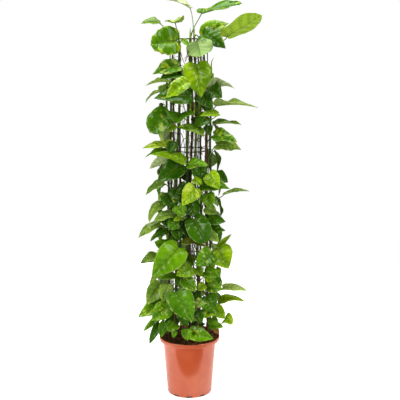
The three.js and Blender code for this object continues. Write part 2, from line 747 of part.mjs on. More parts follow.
function geometryOf(points, triangles) {
  const geometry = new THREE.BufferGeometry();
  geometry.setAttribute("position", new THREE.Float32BufferAttribute(points.flatMap((p) => p.toArray()), 3));
  geometry.setIndex(triangles.flat());
  return geometry;
}

// Both faces carry the same triangles, half a thickness either way from the blade's middle.
// The stalk's rings end in the blade's neck, so that a leaf is one closed surface.
function leafGeometries(leaf, moved, thickness, radius) {
  const frame = bladeFrame(leaf, moved);
  const spots = bladeSpots(leaf, frame);
  const count = spots.length;
  const form = bladeForm(leaf);
  const rim = count - form.midrib.length;
  const points = [1, -1].flatMap((side) =>
    spots.map(({ point, normal }) => point.clone().addScaledVector(normal, (side * thickness) / 2)),
  );
  const faces = faceTriangles(form);
  const blade = [...faces, ...faces.map(([a, b, c]) => [a + count, c + count, b + count])];
  for (let i = 0; i < rim - 1; i += 1) {
    blade.push([i, i + count, i + 1 + count], [i, i + 1 + count, i + 1]);
  }
  const neck = [0, rim - 1, rim - 1 + count, count];
  const neckClosed = [
    [neck[1], neck[2], neck[3]],
    [neck[1], neck[3], neck[0]],
  ];
  const rings = stalkRings(leaf, frame, radius);
  const stalkStart = points.length;
  points.push(...rings.flat());
  const ringAt = (i) => (i < rings.length ? [0, 1, 2, 3].map((k) => stalkStart + 4 * i + k) : neck);
  const stalkFrom = (first) => {
    const start = ringAt(first);
    const triangles = [
      [start[0], start[1], start[2]],
      [start[0], start[2], start[3]],
    ];
    for (let i = first; i < rings.length; i += 1) {
      const [from, to] = [ringAt(i), ringAt(i + 1)];
      for (let k = 0; k < 4; k += 1) {
        const next = (k + 1) % 4;
        triangles.push([from[k], to[k], to[next]], [from[k], to[next], from[next]]);
      }
    }
    return triangles;
  };
  const neckCap = [
    [neck[0], neck[3], neck[2]],
    [neck[0], neck[2], neck[1]],
  ];
  return {
    whole: geometryOf(points, [...blade, ...stalkFrom(0)]),
    blade: geometryOf(points, [...blade, ...neckClosed]),
    stalk: geometryOf(points, [...stalkFrom(0), ...neckCap]),
    outerStalk: geometryOf(points, [...stalkFrom(rings.length - 1), ...neckCap]),
  };
}

function boxesMeet(a, b) {
  return [0, 1, 2].every((axis) => a.min[axis] < b.max[axis] && b.min[axis] < a.max[axis]);
}

function touches(solid, other) {
  if (!boxesMeet(solid.boundingBox(), other.box)) return false;
  return solid.intersect(other.solid).volume() > LEAST_OVERLAP;
}

// A leaf is free to stand where its blade clears everything and its stalk clears all
// but its own stem. Stalks of one vine may meet at their roots.
function isFree(leaf, moved, taken) {
  const room = leafGeometries(leaf, moved, ROOM.blade, ROOM.stalk);
  const [blade, stalk, outerStalk] = [room.blade, room.stalk, room.outerStalk].map(solidOf);
  return !taken.some((other) => {
    if (touches(blade, other)) return true;
    if (other.stem === leaf.vine) return false;
    return touches(other.leafOf === leaf.vine ? outerStalk : stalk, other);
  });
}

// Each leaf takes the first free place: as drawn, or moved along its line of sight.
// The leaves in front come first, and the broadest of them before the rest.
function placeLeaves(leaves, standing) {
  const taken = [...standing];
  const moves = [0];
  for (let i = 1; i <= MOST_MOVES; i += 1) moves.push(-i * MOVE, i * MOVE);
  const placed = [];
  const rank = (leaf) => leaf.width + (leaf.behind ? 0 : RIM_RADIUS);
  for (const leaf of [...leaves].sort((a, b) => rank(b) - rank(a))) {
    const moved = moves.find((move) => isFree(leaf, move, taken));
    if (moved === undefined) continue;
    const solid = solidOf(leafGeometries(leaf, moved, BLADE_THICKNESS, STALK_RADIUS).whole);
    taken.push({ solid, box: solid.boundingBox(), leafOf: leaf.vine });
    placed.push({ leaf, moved, solid });
  }
  return placed;
}

const plastic = new THREE.MeshStandardMaterial({ color: 0xc9603a, roughness: 0.42, metalness: 0 });
const earth = new THREE.MeshStandardMaterial({ color: 0x2a1a12, roughness: 0.95, metalness: 0 });
const coatedWire = new THREE.MeshStandardMaterial({ color: 0x26301f, roughness: 0.5, metalness: 0.2 });
const foliage = (hue) => new THREE.MeshStandardMaterial({ color: hue, roughness: 0.38, metalness: 0 });
const FOLIAGE_HUES = [0x4f8a1c, 0x5c9a20, 0x68a826, 0x4a8120, 0x77b030];

const pot = potSolid();
const soil = soilSolid();
const column = columnSolid();
const stems = VINES.map(stemSolid);

const leaves = [...FRONT_LEAVES.map(frontLeaf), ...ruledLeaves()].map((leaf, index) => ({ ...leaf, index }));
for (const leaf of leaves) leaf.vine ??= nearestVine(leaf.place(0).base);

const standing = [pot, soil, column].map((solid) => ({ solid, box: solid.boundingBox() }));
stems.forEach((solid, i) => standing.push({ solid, box: solid.boundingBox(), stem: i + 1 }));
const placed = placeLeaves(leaves, standing);

const plant = new THREE.Group();
plant.name = "potted_pothos";
plant.add(meshOf("pot", pot, plastic));
plant.add(meshOf("soil", soil, earth));
plant.add(meshOf("support_column", column, coatedWire));
stems.forEach((stem, i) => {
  let vine = stem;
  for (const { leaf, solid } of placed) {
    if (leaf.vine === i + 1) vine = vine.add(solid);
  }
  const name = `vine_${String(i + 1).padStart(2, "0")}`;
  plant.add(meshOf(name, vine, foliage(FOLIAGE_HUES[i % FOLIAGE_HUES.length])));
});

export default plant;
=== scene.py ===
"""A golden pothos trained up a wire column, in a filled terracotta-coloured plastic pot.

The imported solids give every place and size. This script dresses them: each vine gets smooth
stems, stalks and blades where its solid has them, and the pot, the soil and the wire column
get their rolled edges, crumbs, ties and finishes. Lengths are millimetres unless a name says
otherwise, and the meshes are scaled to metres when they are made.
"""

import logging
import math
from dataclasses import dataclass, field
from enum import Enum
from typing import ClassVar

import bpy
import numpy as np
from bpy.types import Material, NodeSocket as Socket, Object as Piece
from numpy import ndarray as Array
from numpy.random import Generator
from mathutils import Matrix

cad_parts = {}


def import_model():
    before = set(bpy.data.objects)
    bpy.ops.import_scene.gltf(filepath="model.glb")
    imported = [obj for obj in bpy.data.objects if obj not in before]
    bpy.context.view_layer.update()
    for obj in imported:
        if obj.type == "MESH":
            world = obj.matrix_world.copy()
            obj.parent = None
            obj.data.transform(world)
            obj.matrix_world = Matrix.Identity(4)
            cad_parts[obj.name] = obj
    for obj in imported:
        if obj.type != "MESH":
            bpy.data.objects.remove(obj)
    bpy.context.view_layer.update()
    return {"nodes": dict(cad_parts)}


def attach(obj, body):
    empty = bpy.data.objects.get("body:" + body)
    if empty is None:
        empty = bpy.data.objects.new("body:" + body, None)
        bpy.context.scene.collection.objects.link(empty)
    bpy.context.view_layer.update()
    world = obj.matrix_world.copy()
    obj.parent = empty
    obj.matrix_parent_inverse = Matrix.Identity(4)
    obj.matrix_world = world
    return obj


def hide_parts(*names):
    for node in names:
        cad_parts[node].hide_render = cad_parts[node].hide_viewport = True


Faces = list[tuple[int, ...]]
Tint = tuple[tuple[float, float, float], tuple[float, float, float]]
Colour = tuple[int, int, int]
Pair = tuple[float, float]

log = logging.getLogger("pothos")

METRES = 0.001
FULL_TURN = 2 * math.pi
UP = np.array([0.0, 0.0, 1.0])
FRONT = np.array([0.0, -1.0, 0.0])
# A way that no tube starts along, to set its first ring by
ANY_WAY = np.array([0.31, 0.87, 0.38])


class Tone(Enum):
    """Green of a blade as it reads on the plant, as red, green and blue out of 255."""

    LIME = (160, 194, 26)
    BRIGHT = (140, 178, 16)
    FRESH = (110, 158, 16)
    LEAFY = (87, 138, 14)
    DEEP = (66, 113, 10)
    INKY = (34, 64, 6)
    SAGE = (128, 160, 66)
    PALE = (176, 200, 112)
    OLIVE = (118, 128, 30)
    HUSK = (146, 104, 58)
    MILK = (214, 224, 190)
    SILVER = (150, 178, 132)


class Slot(Enum):
    """Material slots of the record, one for each kind of piece."""

    POT = "pot_plastic"
    SOIL = "potting_soil"
    WIRE = "coated_wire"
    FOLIAGE = "pothos_foliage"


class Form(Enum):
    """Half of a blade's outline, past its neck.

    Each point is a share of the length from the stalk, a share of the half width, and the
    share of the midrib from which the vein to that point leaves.
    """

    BROAD = (
        (-0.08, 0.36, 0.015), (-0.01, 0.78, 0.05), (0.22, 1, 0.12), (0.5, 0.86, 0.34), (0.78, 0.42, 0.66),
    )
    ROUND = (
        (-0.1, 0.34, 0.015), (-0.02, 0.75, 0.05), (0.26, 1, 0.14), (0.6, 0.95, 0.42), (0.87, 0.55, 0.74),
    )
    SMALL = ((-0.07, 0.42, 0.02), (0.09, 0.93, 0.08), (0.42, 0.93, 0.26), (0.76, 0.46, 0.62))
    OVAL = ((0.02, 0.36, 0.01), (0.22, 0.86, 0.1), (0.6, 1, 0.42), (0.88, 0.62, 0.78))
    TINY = ((-0.05, 0.5, 0.02), (0.2, 1, 0.14), (0.66, 0.66, 0.5))
    LOBED = (
        (-0.04, 0.34, 0.015), (0.02, 0.72, 0.04), (0.26, 0.98, 0.12), (0.6, 1, 0.4), (0.87, 0.66, 0.76),
    )


@dataclass(frozen=True)
class Row:
    """One blade as it is seen from the front.

    x, z, y and tip_x, tip_z, tip_y are the stalk's end and the tip: x and z are read in the
    plane of the column's axis, and y is the depth at which the point lies. turn tips the face
    from straight up (0) to the front (90) or to the back (below 0). streaks, mottle and edge are
    the strengths of its golden and cream marks. lean shifts one half of the blade towards its tip
    and the other back past its stalk.
    """

    x: float
    z: float
    y: float
    tip_x: float
    tip_z: float
    tip_y: float
    width: float
    turn: float
    tone: Tone
    streaks: float = 0.1
    mottle: float = 0.0
    edge: float = 0.0
    vine: int | None = None
    root: float | None = None
    form: Form | None = None
    bow: float = 0.16
    roll: float = 0.0
    torn: float = 0.0
    lean: float = 0.0


# Blades that are seen from the front, from the crown down to the foot.
FRONT_ROWS = [
    # Crown
    Row(
        48, 1484, -20, 198, 1521, -40, 72, 22,
        Tone.LEAFY, 0.5, vine=3, root=1392, form=Form.LOBED, bow=0.03, lean=0.16,
    ),
    Row(
        143, 1398, -30, 273, 1477, -55, 78, -50,
        Tone.LIME, 0.2, vine=5, root=1336, form=Form.LOBED, bow=0.06, lean=-0.16,
    ),
    Row(52, 1402, 15, 150, 1448, 5, 84, 48, Tone.FRESH, 0.7, 0.2, 0.2, vine=4, root=1396),
    Row(52, 1408, -70, 138, 1356, -95, 84, 54, Tone.DEEP, edge=0.5, vine=4, root=1370),
    Row(32, 1384, -60, 44, 1326, -120, 108, -70, Tone.SILVER, mottle=0.1, vine=4, root=1362),
    Row(
        -44, 1384, -70, -143, 1370, -85, 112, 74,
        Tone.FRESH, 0.6, 0.2, vine=2, root=1350, form=Form.ROUND, torn=0.14,
    ),
    Row(-108, 1449, -20, -178, 1447, -30, 52, 28, Tone.SAGE, vine=2, root=1384),
    Row(-50, 1449, -25, -54, 1452, -110, 76, 0, Tone.PALE, 0.2, edge=0.2, vine=2, root=1378, roll=10),
    Row(5, 1504, -30, -82, 1533, -20, 60, 4, Tone.MILK, 0, vine=4, root=1400),
    Row(-22, 1388, -95, 2, 1363, -105, 22, 60, Tone.FRESH, vine=2, root=1360),
    # Upper third
    Row(28, 1297, -100, 46, 1173, -120, 108, 80, Tone.BRIGHT, 0.5, 0.1, vine=4),
    Row(-35, 1290, -100, -136, 1260, -115, 75, 45, Tone.LEAFY, 0.9, 0.2, 0.4, vine=2),
    Row(-30, 1262, -90, -108, 1243, -100, 66, 40, Tone.DEEP),
    Row(-72, 1232, -60, -163, 1217, -70, 66, -14, Tone.PALE),
    Row(-8, 1232, -125, -88, 1171, -140, 62, 60, Tone.BRIGHT, 0.5, 0.1, 0.8, vine=3),
    Row(-98, 1196, -30, -164, 1153, -40, 44, 6, Tone.SAGE, bow=0.3),
    Row(72, 1215, -60, 173, 1208, -75, 78, -26, Tone.MILK, 0.3, edge=0.2, bow=0.2),
    Row(80, 1203, -80, 125, 1172, -95, 72, 55, Tone.DEEP),
    Row(6, 1178, -120, -132, 1170, -140, 84, 56, Tone.DEEP, 0.25, edge=0.1, vine=3),
    Row(35, 1182, -90, 92, 1130, -105, 62, 50, Tone.DEEP),
    Row(-80, 1112, -70, -149, 1040, -90, 96, 62, Tone.LEAFY, 0.5, 0.5, form=Form.ROUND),
    Row(-32, 1112, -95, -42, 1074, -190, 104, 0, Tone.LEAFY, vine=3, bow=0.1),
    Row(112, 1112, -90, 40, 1103, -120, 34, 50, Tone.BRIGHT, 0.2, vine=5),
    Row(105, 1143, -10, 262, 1134, -30, 108, -6, Tone.PALE, 0.2, edge=0.1, vine=6, bow=0.12),
    Row(95, 1072, -20, 200, 1070, -30, 78, 5, Tone.SAGE, 0.2, vine=6, bow=0.12),
    Row(54, 1036, -105, -46, 1061, -130, 58, 35, Tone.FRESH, 0.6, 0.1, vine=4),
    Row(72, 1098, -75, 20, 1064, -85, 58, 55, Tone.DEEP),
    Row(95, 1030, -85, 184, 1004, -100, 64, 44, Tone.LEAFY, 0.6, edge=0.4),
    Row(105, 992, -65, 200, 974, -80, 74, 36, Tone.SAGE, 0.3, edge=0.4, vine=5, root=902),
    Row(-78, 1052, -30, -108, 1006, -45, 42, 45, Tone.PALE),
    Row(-68, 1044, -40, -98, 1008, -50, 46, -60, Tone.MILK),
    Row(-52, 1068, -95, -76, 1042, -105, 26, 60, Tone.LIME, 0.2),
    Row(-20, 1205, -60, -70, 1150, -72, 62, 66, Tone.DEEP),
    Row(62, 1166, -62, 78, 1108, -74, 50, 70, Tone.DEEP),
    Row(28, 1098, -50, 30, 1062, -60, 44, 74, Tone.INKY),
    Row(72, 1066, -60, 76, 1030, -68, 36, 66, Tone.DEEP),
    # Middle
    Row(-62, 985, -60, -178, 980, -75, 70, 24, Tone.LIME, 0.9, 0.2, 0.2, bow=0.12),
    Row(-82, 972, -90, -168, 945, -105, 44, 12, Tone.FRESH, edge=0.2),
    Row(-62, 1004, -95, -72, 958, -110, 44, 72, Tone.DEEP, 0),
    Row(-18, 928, -100, -150, 957, -120, 66, 25, Tone.BRIGHT, 0.5, edge=0.1, bow=0.1),
    Row(-68, 943, -70, -151, 901, -85, 72, -48, Tone.MILK),
    Row(-28, 917, -90, -122, 850, -105, 88, 62, Tone.DEEP, mottle=0.1),
    Row(-96, 843, -50, -168, 797, -60, 48, 25, Tone.SAGE, edge=0.1, bow=0.25),
    Row(-2, 914, -110, 75, 912, -135, 60, 34, Tone.FRESH, 0.2, 0.1),
    Row(38, 907, -95, 44, 857, -115, 58, 76, Tone.DEEP, form=Form.ROUND),
    Row(76, 880, -100, 117, 821, -120, 64, 76, Tone.BRIGHT, 0.5, 0.1),
    Row(104, 880, -70, 150, 847, -85, 50, 70, Tone.DEEP, 0),
    Row(18, 860, -120, 50, 840, -135, 30, 60, Tone.BRIGHT, 0.5, 0.6, form=Form.ROUND),
    Row(100, 843, -90, 148, 826, -105, 38, 50, Tone.BRIGHT, 0.2, edge=0.6),
    Row(24, 826, -130, -27, 756, -155, 72, 68, Tone.LIME, 0.8, 0.1, vine=3),
    Row(0, 823, -95, -56, 800, -105, 40, 40, Tone.DEEP),
    Row(42, 832, -110, 157, 822, -125, 78, 34, Tone.LEAFY, 0.5),
    Row(135, 801, -20, 233, 813, -30, 54, 4, Tone.SAGE, vine=6, bow=0.12),
    Row(68, 802, -100, 84, 748, -115, 58, 78, Tone.FRESH),
    Row(66, 750, -90, 107, 722, -105, 50, 65, Tone.SAGE),
    Row(-82, 808, -80, -52, 744, -95, 78, 72, Tone.DEEP, 0.3),
    Row(-95, 803, -50, -120, 776, -60, 30, 50, Tone.PALE),
    Row(-98, 762, -60, -155, 690, -75, 56, 22, Tone.SAGE, 0.2, bow=0.4),
    Row(-42, 757, -110, -20, 712, -130, 58, 76, Tone.FRESH, 0.2),
    Row(-60, 722, -85, -139, 693, -100, 58, 32, Tone.SAGE, 0.2, edge=0.2),
    Row(-92, 706, -75, -86, 672, -90, 44, 75, Tone.DEEP),
    Row(2, 765, -90, 32, 706, -105, 68, 66, Tone.DEEP, 0),
    Row(-30, 708, -105, -62, 695, -115, 30, 40, Tone.BRIGHT, 0.2),
    Row(68, 695, -80, 142, 692, -95, 64, 44, Tone.LEAFY),
    Row(72, 652, -85, 141, 657, -100, 56, 36, Tone.LEAFY, 0.2),
    Row(20, 704, -115, 66, 606, -145, 94, 76, Tone.DEEP, 0.3, 0.1, form=Form.ROUND),
    Row(-40, 700, -95, -82, 660, -110, 60, 60, Tone.LEAFY),
    Row(-50, 668, -90, -36, 615, -100, 50, 70, Tone.DEEP, 0),
    Row(-22, 695, -80, 16, 618, -90, 52, 68, Tone.INKY, 0),
    Row(-20, 900, -40, 0, 846, -50, 56, 68, Tone.INKY),
    Row(-66, 655, -50, -74, 600, -60, 48, 66, Tone.PALE),
    Row(-2, 692, -35, -18, 610, -45, 60, 74, Tone.INKY),
    # Lower third
    Row(-112, 681, -40, -198, 628, -55, 52, 32, Tone.SAGE, 0.5, edge=0.1, bow=0.25),
    Row(-84, 655, -60, -152, 614, -75, 48, 26, Tone.DEEP, edge=0.5, bow=0.22),
    Row(-42, 588, -115, -149, 470, -150, 112, 78, Tone.FRESH, 0.35, 0.1),
    Row(-100, 598, -70, -136, 612, -80, 44, 70, Tone.FRESH),
    Row(-128, 556, -50, -192, 525, -65, 46, 45, Tone.SAGE),
    Row(113, 592, -50, 165, 643, -60, 24, 60, Tone.LIME, vine=6, bow=0.05),
    Row(88, 566, -95, 24, 513, -120, 76, 68, Tone.LEAFY, 0.5, 0.2),
    Row(112, 582, -70, 154, 503, -95, 98, 76, Tone.BRIGHT, 0.4, 0.5),
    Row(8, 510, -125, -52, 474, -150, 72, 66, Tone.BRIGHT, 0.2, 0.1),
    Row(64, 652, -100, 118, 612, -115, 44, 62, Tone.SAGE),
    Row(-25, 612, -110, 66, 592, -125, 50, 20, Tone.OLIVE),
    Row(-48, 612, -80, -100, 604, -90, 50, 50, Tone.DEEP, 0),
    Row(-100, 498, -60, -158, 428, -75, 42, 14, Tone.SAGE, bow=0.2),
    Row(-52, 468, -85, -126, 462, -100, 56, 22, Tone.FRESH),
    Row(60, 490, -95, 119, 471, -110, 56, 42, Tone.FRESH),
    Row(80, 482, -110, 72, 445, -120, 46, 66, Tone.BRIGHT),
    # Foot
    Row(-114, 440, -70, -170, 356, -90, 72, 66, Tone.SAGE, 0.4),
    Row(98, 476, -40, 116, 436, -48, 40, 60, Tone.LEAFY),
    Row(-86, 440, -90, -106, 366, -105, 54, 70, Tone.SAGE),
    Row(-90, 372, -80, -204, 304, -105, 76, 56, Tone.FRESH, 0.6, 0.6, 0.1),
    Row(-84, 350, -105, -150, 290, -125, 76, 66, Tone.FRESH, 0.5, 0.8),
    Row(-50, 408, -130, 13, 284, -165, 108, 80, Tone.LEAFY, 0.5, edge=0.2),
    Row(-18, 462, -115, 26, 413, -140, 58, 72, Tone.FRESH, 0.4, edge=0.8),
    Row(58, 440, -110, 32, 413, -125, 38, 66, Tone.LIME),
    Row(72, 430, -95, 134, 418, -110, 50, 56, Tone.FRESH, 0.4, 0.6),
    Row(132, 426, -40, 228, 414, -55, 46, 28, Tone.PALE, vine=6, bow=0.12),
    Row(118, 367, -30, 220, 369, -45, 48, 24, Tone.LIME, 0.3, edge=0.7, vine=6, bow=0.3),
    Row(64, 388, -100, 102, 322, -120, 74, 73, Tone.LEAFY, 0.4, 0.6),
    Row(50, 374, -140, 16, 341, -155, 38, 62, Tone.SAGE, 0.6, 0.2, 0.2, vine=3),
    Row(14, 398, -95, 46, 346, -110, 52, 62, Tone.DEEP, 0),
    Row(100, 345, -70, 141, 297, -85, 52, 66, Tone.BRIGHT),
    Row(141, 284, -50, 172, 276, -70, 50, 40, Tone.LIME, vine=6, form=Form.OVAL, bow=1.5),
    Row(78, 336, -115, 60, 303, -130, 54, 76, Tone.BRIGHT),
    Row(-45, 300, -110, -98, 288, -125, 46, 46, Tone.DEEP),
    Row(-118, 277, -80, -160, 191, -105, 36, 52, Tone.DEEP, bow=0.25),
    Row(-122, 300, -70, -184, 244, -85, 32, 42, Tone.FRESH),
    Row(-98, 285, -95, -116, 217, -115, 38, 66, Tone.LEAFY),
    Row(-56, 280, -100, -88, 244, -120, 54, 62, Tone.FRESH, 0.2),
    Row(-58, 246, -115, -65, 217, -130, 24, 62, Tone.FRESH, edge=0.2),
    Row(-12, 254, -125, -8, 206, -140, 46, 79, Tone.FRESH),
    Row(6, 242, -120, 98, 213, -150, 62, 66, Tone.FRESH, 0.4, 0.1, 0.1),
    Row(10, 262, -95, 64, 276, -105, 42, 45, Tone.DEEP),
    Row(82, 272, -80, 136, 262, -95, 42, 46, Tone.FRESH),
    Row(98, 262, -50, 118, 232, -60, 26, 60, Tone.HUSK, 0.2, edge=0.3),
    Row(0, 404, -50, 6, 338, -62, 52, 72, Tone.INKY),
    Row(-30, 330, -60, -10, 262, -75, 52, 68, Tone.DEEP),
    Row(36, 330, -62, 44, 276, -76, 44, 68, Tone.DEEP),
    Row(88, 300, -50, 104, 256, -60, 44, 66, Tone.FRESH),
]
# Small young blades among the stems, too slight for the solids.
YOUNG_ROWS = [
    Row(-36, 470, -92, -54, 432, -106, 34, 68, Tone.LEAFY, 0.2),
    Row(30, 506, -92, 52, 470, -108, 36, 66, Tone.BRIGHT, 0.3),
    Row(50, 334, -90, 70, 298, -102, 34, 70, Tone.FRESH, 0.3),
    Row(-4, 546, -92, 18, 516, -106, 30, 62, Tone.LEAFY, 0.2),
    Row(92, 402, -60, 112, 372, -72, 30, 66, Tone.FRESH, 0.2),
    Row(-14, 302, -92, -34, 270, -106, 32, 70, Tone.BRIGHT, 0.2),
]


@dataclass(frozen=True)
class Habit:
    """How the blades of one kind of row stand: each pair is the least and the most of a draw.

    swing is the most that a stalk turns from its row's aim, up_to is the height at which its
    rows end, and climbing blades look for room up and down their stem instead of outwards.
    """

    reach: Pair
    length: Pair
    droop: Pair
    turn: Pair
    swing: float
    up_to: float
    climbs: bool = False


BEHIND = Habit((30, 62), (78, 122), (12, 66), (34, 66), 26, 1450)
BESIDE = Habit((18, 34), (76, 108), (72, 86), (66, 86), 20, 1180, climbs=True)


@dataclass(frozen=True)
class RuledRow:
    """Blades up one vine, placed by rule: where their stalks aim, and which way they face."""

    vine: int
    aim: float
    facing: Pair
    first: float
    pitch: float
    habit: Habit


RULED_ROWS = [
    RuledRow(6, 72, (1, 0.25), 350, 124, BEHIND),
    RuledRow(7, 83, (0.45, 1), 379, 124, BEHIND),
    RuledRow(8, 90, (0, 1), 292, 108, BEHIND),
    RuledRow(9, 98, (-0.45, 1), 321, 124, BEHIND),
    RuledRow(10, 106, (-1, 0.25), 350, 124, BEHIND),
    RuledRow(6, 36, (1, 0.2), 412, 186, BESIDE),
    RuledRow(6, -38, (1, -0.2), 322, 186, BESIDE),
    RuledRow(10, 144, (-1, 0.2), 396, 186, BESIDE),
    RuledRow(10, -142, (-1, -0.2), 306, 186, BESIDE),
]
# Tones that the ruled blades draw from, the commonest more than once.
RULED_TONES = [
    Tone.LEAFY, Tone.DEEP, Tone.FRESH, Tone.BRIGHT, Tone.LEAFY, Tone.FRESH, Tone.DEEP, Tone.LIME,
]
# Heights between which no blade stands behind the column's middle.
OPEN_STOREYS = [(820, 872), (985, 1058), (1300, 1366)]


def linear(tone: tuple[float, float, float]) -> Array:
    """Turns a colour out of 255 into the linear light that shaders work in."""
    share = np.array(tone, dtype=float) / 255
    return np.where(share <= 0.04045, share / 12.92, ((share + 0.055) / 1.055) ** 2.4)


def rgba(tone: tuple[float, float, float]) -> tuple[float, float, float, float]:
    """Gives a colour out of 255 as a shader socket takes it."""
    red, green, blue = (float(value) for value in linear(tone))
    return (red, green, blue, 1.0)


def unit(vector: Array) -> Array:
    """Scales vectors, along the last axis, to length one."""
    length = np.linalg.norm(vector, axis=-1, keepdims=True)
    return vector / np.maximum(length, 1e-9)


def square_to(vector: Array, direction: Array) -> Array:
    """Takes out of vector what runs along direction, and scales the rest to length one."""
    along = unit(direction)
    return unit(vector - along * np.sum(vector * along, axis=-1, keepdims=True))


def level_ways(place: Array) -> tuple[Array, Array]:
    """Gives two level directions at a place: straight away from the pot's axis, and round it."""
    outward = unit(place * np.array([1, 1, 0]))
    return outward, np.cross(UP, outward)


def turned(vector: Array, axis: Array, degrees: float) -> Array:
    """Turns a vector about an axis through the origin.

    Args:
        vector: What is turned.
        axis: A direction of length one.
        degrees: How far, counterclockwise as seen from the axis's head.

    Returns:
        The turned vector.
    """
    angle = math.radians(degrees)
    sideways = np.cross(axis, vector)
    kept = axis * np.dot(axis, vector) * (1 - math.cos(angle))
    return vector * math.cos(angle) + sideways * math.sin(angle) + kept


def smooth_line(points: list, count: int) -> Array:
    """Draws a smooth line through points and returns evenly spaced places on it.

    Args:
        points: At least three places that the line passes through.
        count: How many places to return, both ends among them.

    Returns:
        An array of count places.
    """
    knots = np.array(points, dtype=float)
    padded = np.vstack([2 * knots[0] - knots[1], knots, 2 * knots[-1] - knots[-2]])
    shares = np.linspace(0, 1, 17)[:-1, None]
    pieces = []
    for before, start, end, after in zip(padded, padded[1:], padded[2:], padded[3:]):
        middle = 0.5 * (end - before) * shares + 0.5 * (2 * before - 5 * start + 4 * end - after) * shares**2
        pieces.append(start + middle + 0.5 * (3 * start - before - 3 * end + after) * shares**3)
    line = np.vstack([*pieces, knots[-1:]])
    steps = np.linalg.norm(np.diff(line, axis=0), axis=1)
    travelled = np.concatenate([[0], np.cumsum(steps)])
    wanted = np.linspace(0, travelled[-1], count)
    return np.stack([np.interp(wanted, travelled, line[:, axis]) for axis in range(line.shape[1])], axis=1)


class Draw:
    """A multiplying draw that gives the same numbers on every run."""

    factor: ClassVar[int] = 16807
    modulus: ClassVar[int] = 2147483647

    def __init__(self, seed: int) -> None:
        """Starts the draw at a whole number above 0."""
        self.state = seed

    def between(self, low: float, high: float) -> float:
        """Draws the next number between low and high."""
        self.state = (self.state * self.factor) % self.modulus
        return low + (high - low) * self.state / self.modulus

    def choice(self, options: list) -> object:
        """Draws one of the options."""
        return options[int(self.between(0, len(options) - 1e-6))]


@dataclass
class Bundle:
    """Gathers vertices, faces and their attributes before one mesh is made of them."""

    spots: list[Array] = field(default_factory=list)
    faces: Faces = field(default_factory=list)
    slots: list[int] = field(default_factory=list)
    place: list[Array] = field(default_factory=list)
    hue: list[Array] = field(default_factory=list)
    marks: list[Array] = field(default_factory=list)
    count: int = 0

    def add(
        self,
        spots: Array,
        faces: Faces,
        slot: int | list[int] = 0,
        place: Array | None = None,
        hue: Array | None = None,
        marks: Array | None = None,
    ) -> None:
        """Adds a shape.

        Args:
            spots: Its vertices in millimetres, one row each.
            faces: Its faces as numbers into spots.
            slot: Its material slot, or one slot a face.
            place: Where each vertex lies on its blade or tube, for the finishes.
            hue: Linear colour, one for all or one a vertex.
            marks: Strength of streaks, mottle and edge, one for all or one a vertex.
        """
        number = len(spots)
        self.spots.append(np.asarray(spots, dtype=float))
        self.faces.extend(tuple(corner + self.count for corner in face) for face in faces)
        self.slots.extend(slot if isinstance(slot, list) else [slot] * len(faces))
        for kept, given in ((self.place, place), (self.hue, hue), (self.marks, marks)):
            values = np.zeros(3) if given is None else given
            kept.append(np.broadcast_to(values, (number, 3)))
        self.count += number

    def piece(self, name: str, finishes: list[Material], smooth: bool = True) -> Piece:
        """Makes one object of all that was added.

        Args:
            name: The object's name.
            finishes: Materials, in the order of the slots.
            smooth: Whether its faces are shaded smooth.

        Returns:
            The new object, linked to the scene.
        """
        mesh = bpy.data.meshes.new(name)
        mesh.from_pydata((np.vstack(self.spots) * METRES).tolist(), [], self.faces)
        for finish in finishes:
            mesh.materials.append(finish)
        mesh.polygons.foreach_set("material_index", np.array(self.slots, dtype=np.int32))
        mesh.polygons.foreach_set("use_smooth", np.full(len(self.faces), smooth))
        for label, values in (("place", self.place), ("hue", self.hue), ("marks", self.marks)):
            attribute = mesh.attributes.new(label, "FLOAT_VECTOR", "POINT")
            attribute.data.foreach_set("vector", np.vstack(values).astype(np.float32).ravel())
        mesh.update()
        made = bpy.data.objects.new(name, mesh)
        bpy.context.scene.collection.objects.link(made)
        return made


def ring_faces(rings: int, sides: int) -> Faces:
    """Joins rings of vertices and closes both ends on two more vertices.

    Args:
        rings: How many rings there are, their vertices numbered ring by ring.
        sides: Vertices in a ring.

    Returns:
        The faces; the end vertices come last, the first ring's before the last ring's.
    """
    around = [(k, (k + 1) % sides) for k in range(sides)]
    faces = []
    for low in range(0, (rings - 1) * sides, sides):
        high = low + sides
        faces.extend((low + k, low + after, high + after, high + k) for k, after in around)
    last, end = (rings - 1) * sides, rings * sides
    for k, after in around:
        faces.extend([(end, after, k), (end + 1, last + k, last + after)])
    return faces


def tube(line: Array, radii: Array, sides: int) -> tuple[Array, Faces]:
    """Sweeps a round section along a line and closes both ends.

    Args:
        line: Centre of each ring.
        radii: Radius of each ring, or radius of each vertex of each ring.
        sides: Vertices in a ring.

    Returns:
        Vertices, ring by ring and then the two end centres, and faces.
    """
    tangents = unit(np.gradient(line, axis=0))
    normal = square_to(ANY_WAY, tangents[0])
    normals = [normal]
    for tangent in tangents[1:]:
        normal = square_to(normal, tangent)
        normals.append(normal)
    normals = np.array(normals)
    sideways = np.cross(tangents, normals)
    angles = np.linspace(0, FULL_TURN, sides, endpoint=False)
    width = np.broadcast_to(np.asarray(radii, dtype=float).reshape(len(line), -1), (len(line), sides))
    ring = normals[:, None, :] * np.cos(angles)[None, :, None]
    ring = ring + sideways[:, None, :] * np.sin(angles)[None, :, None]
    spots = (line[:, None, :] + ring * width[:, :, None]).reshape(-1, 3)
    return np.vstack([spots, line[:1], line[-1:]]), ring_faces(len(line), sides)


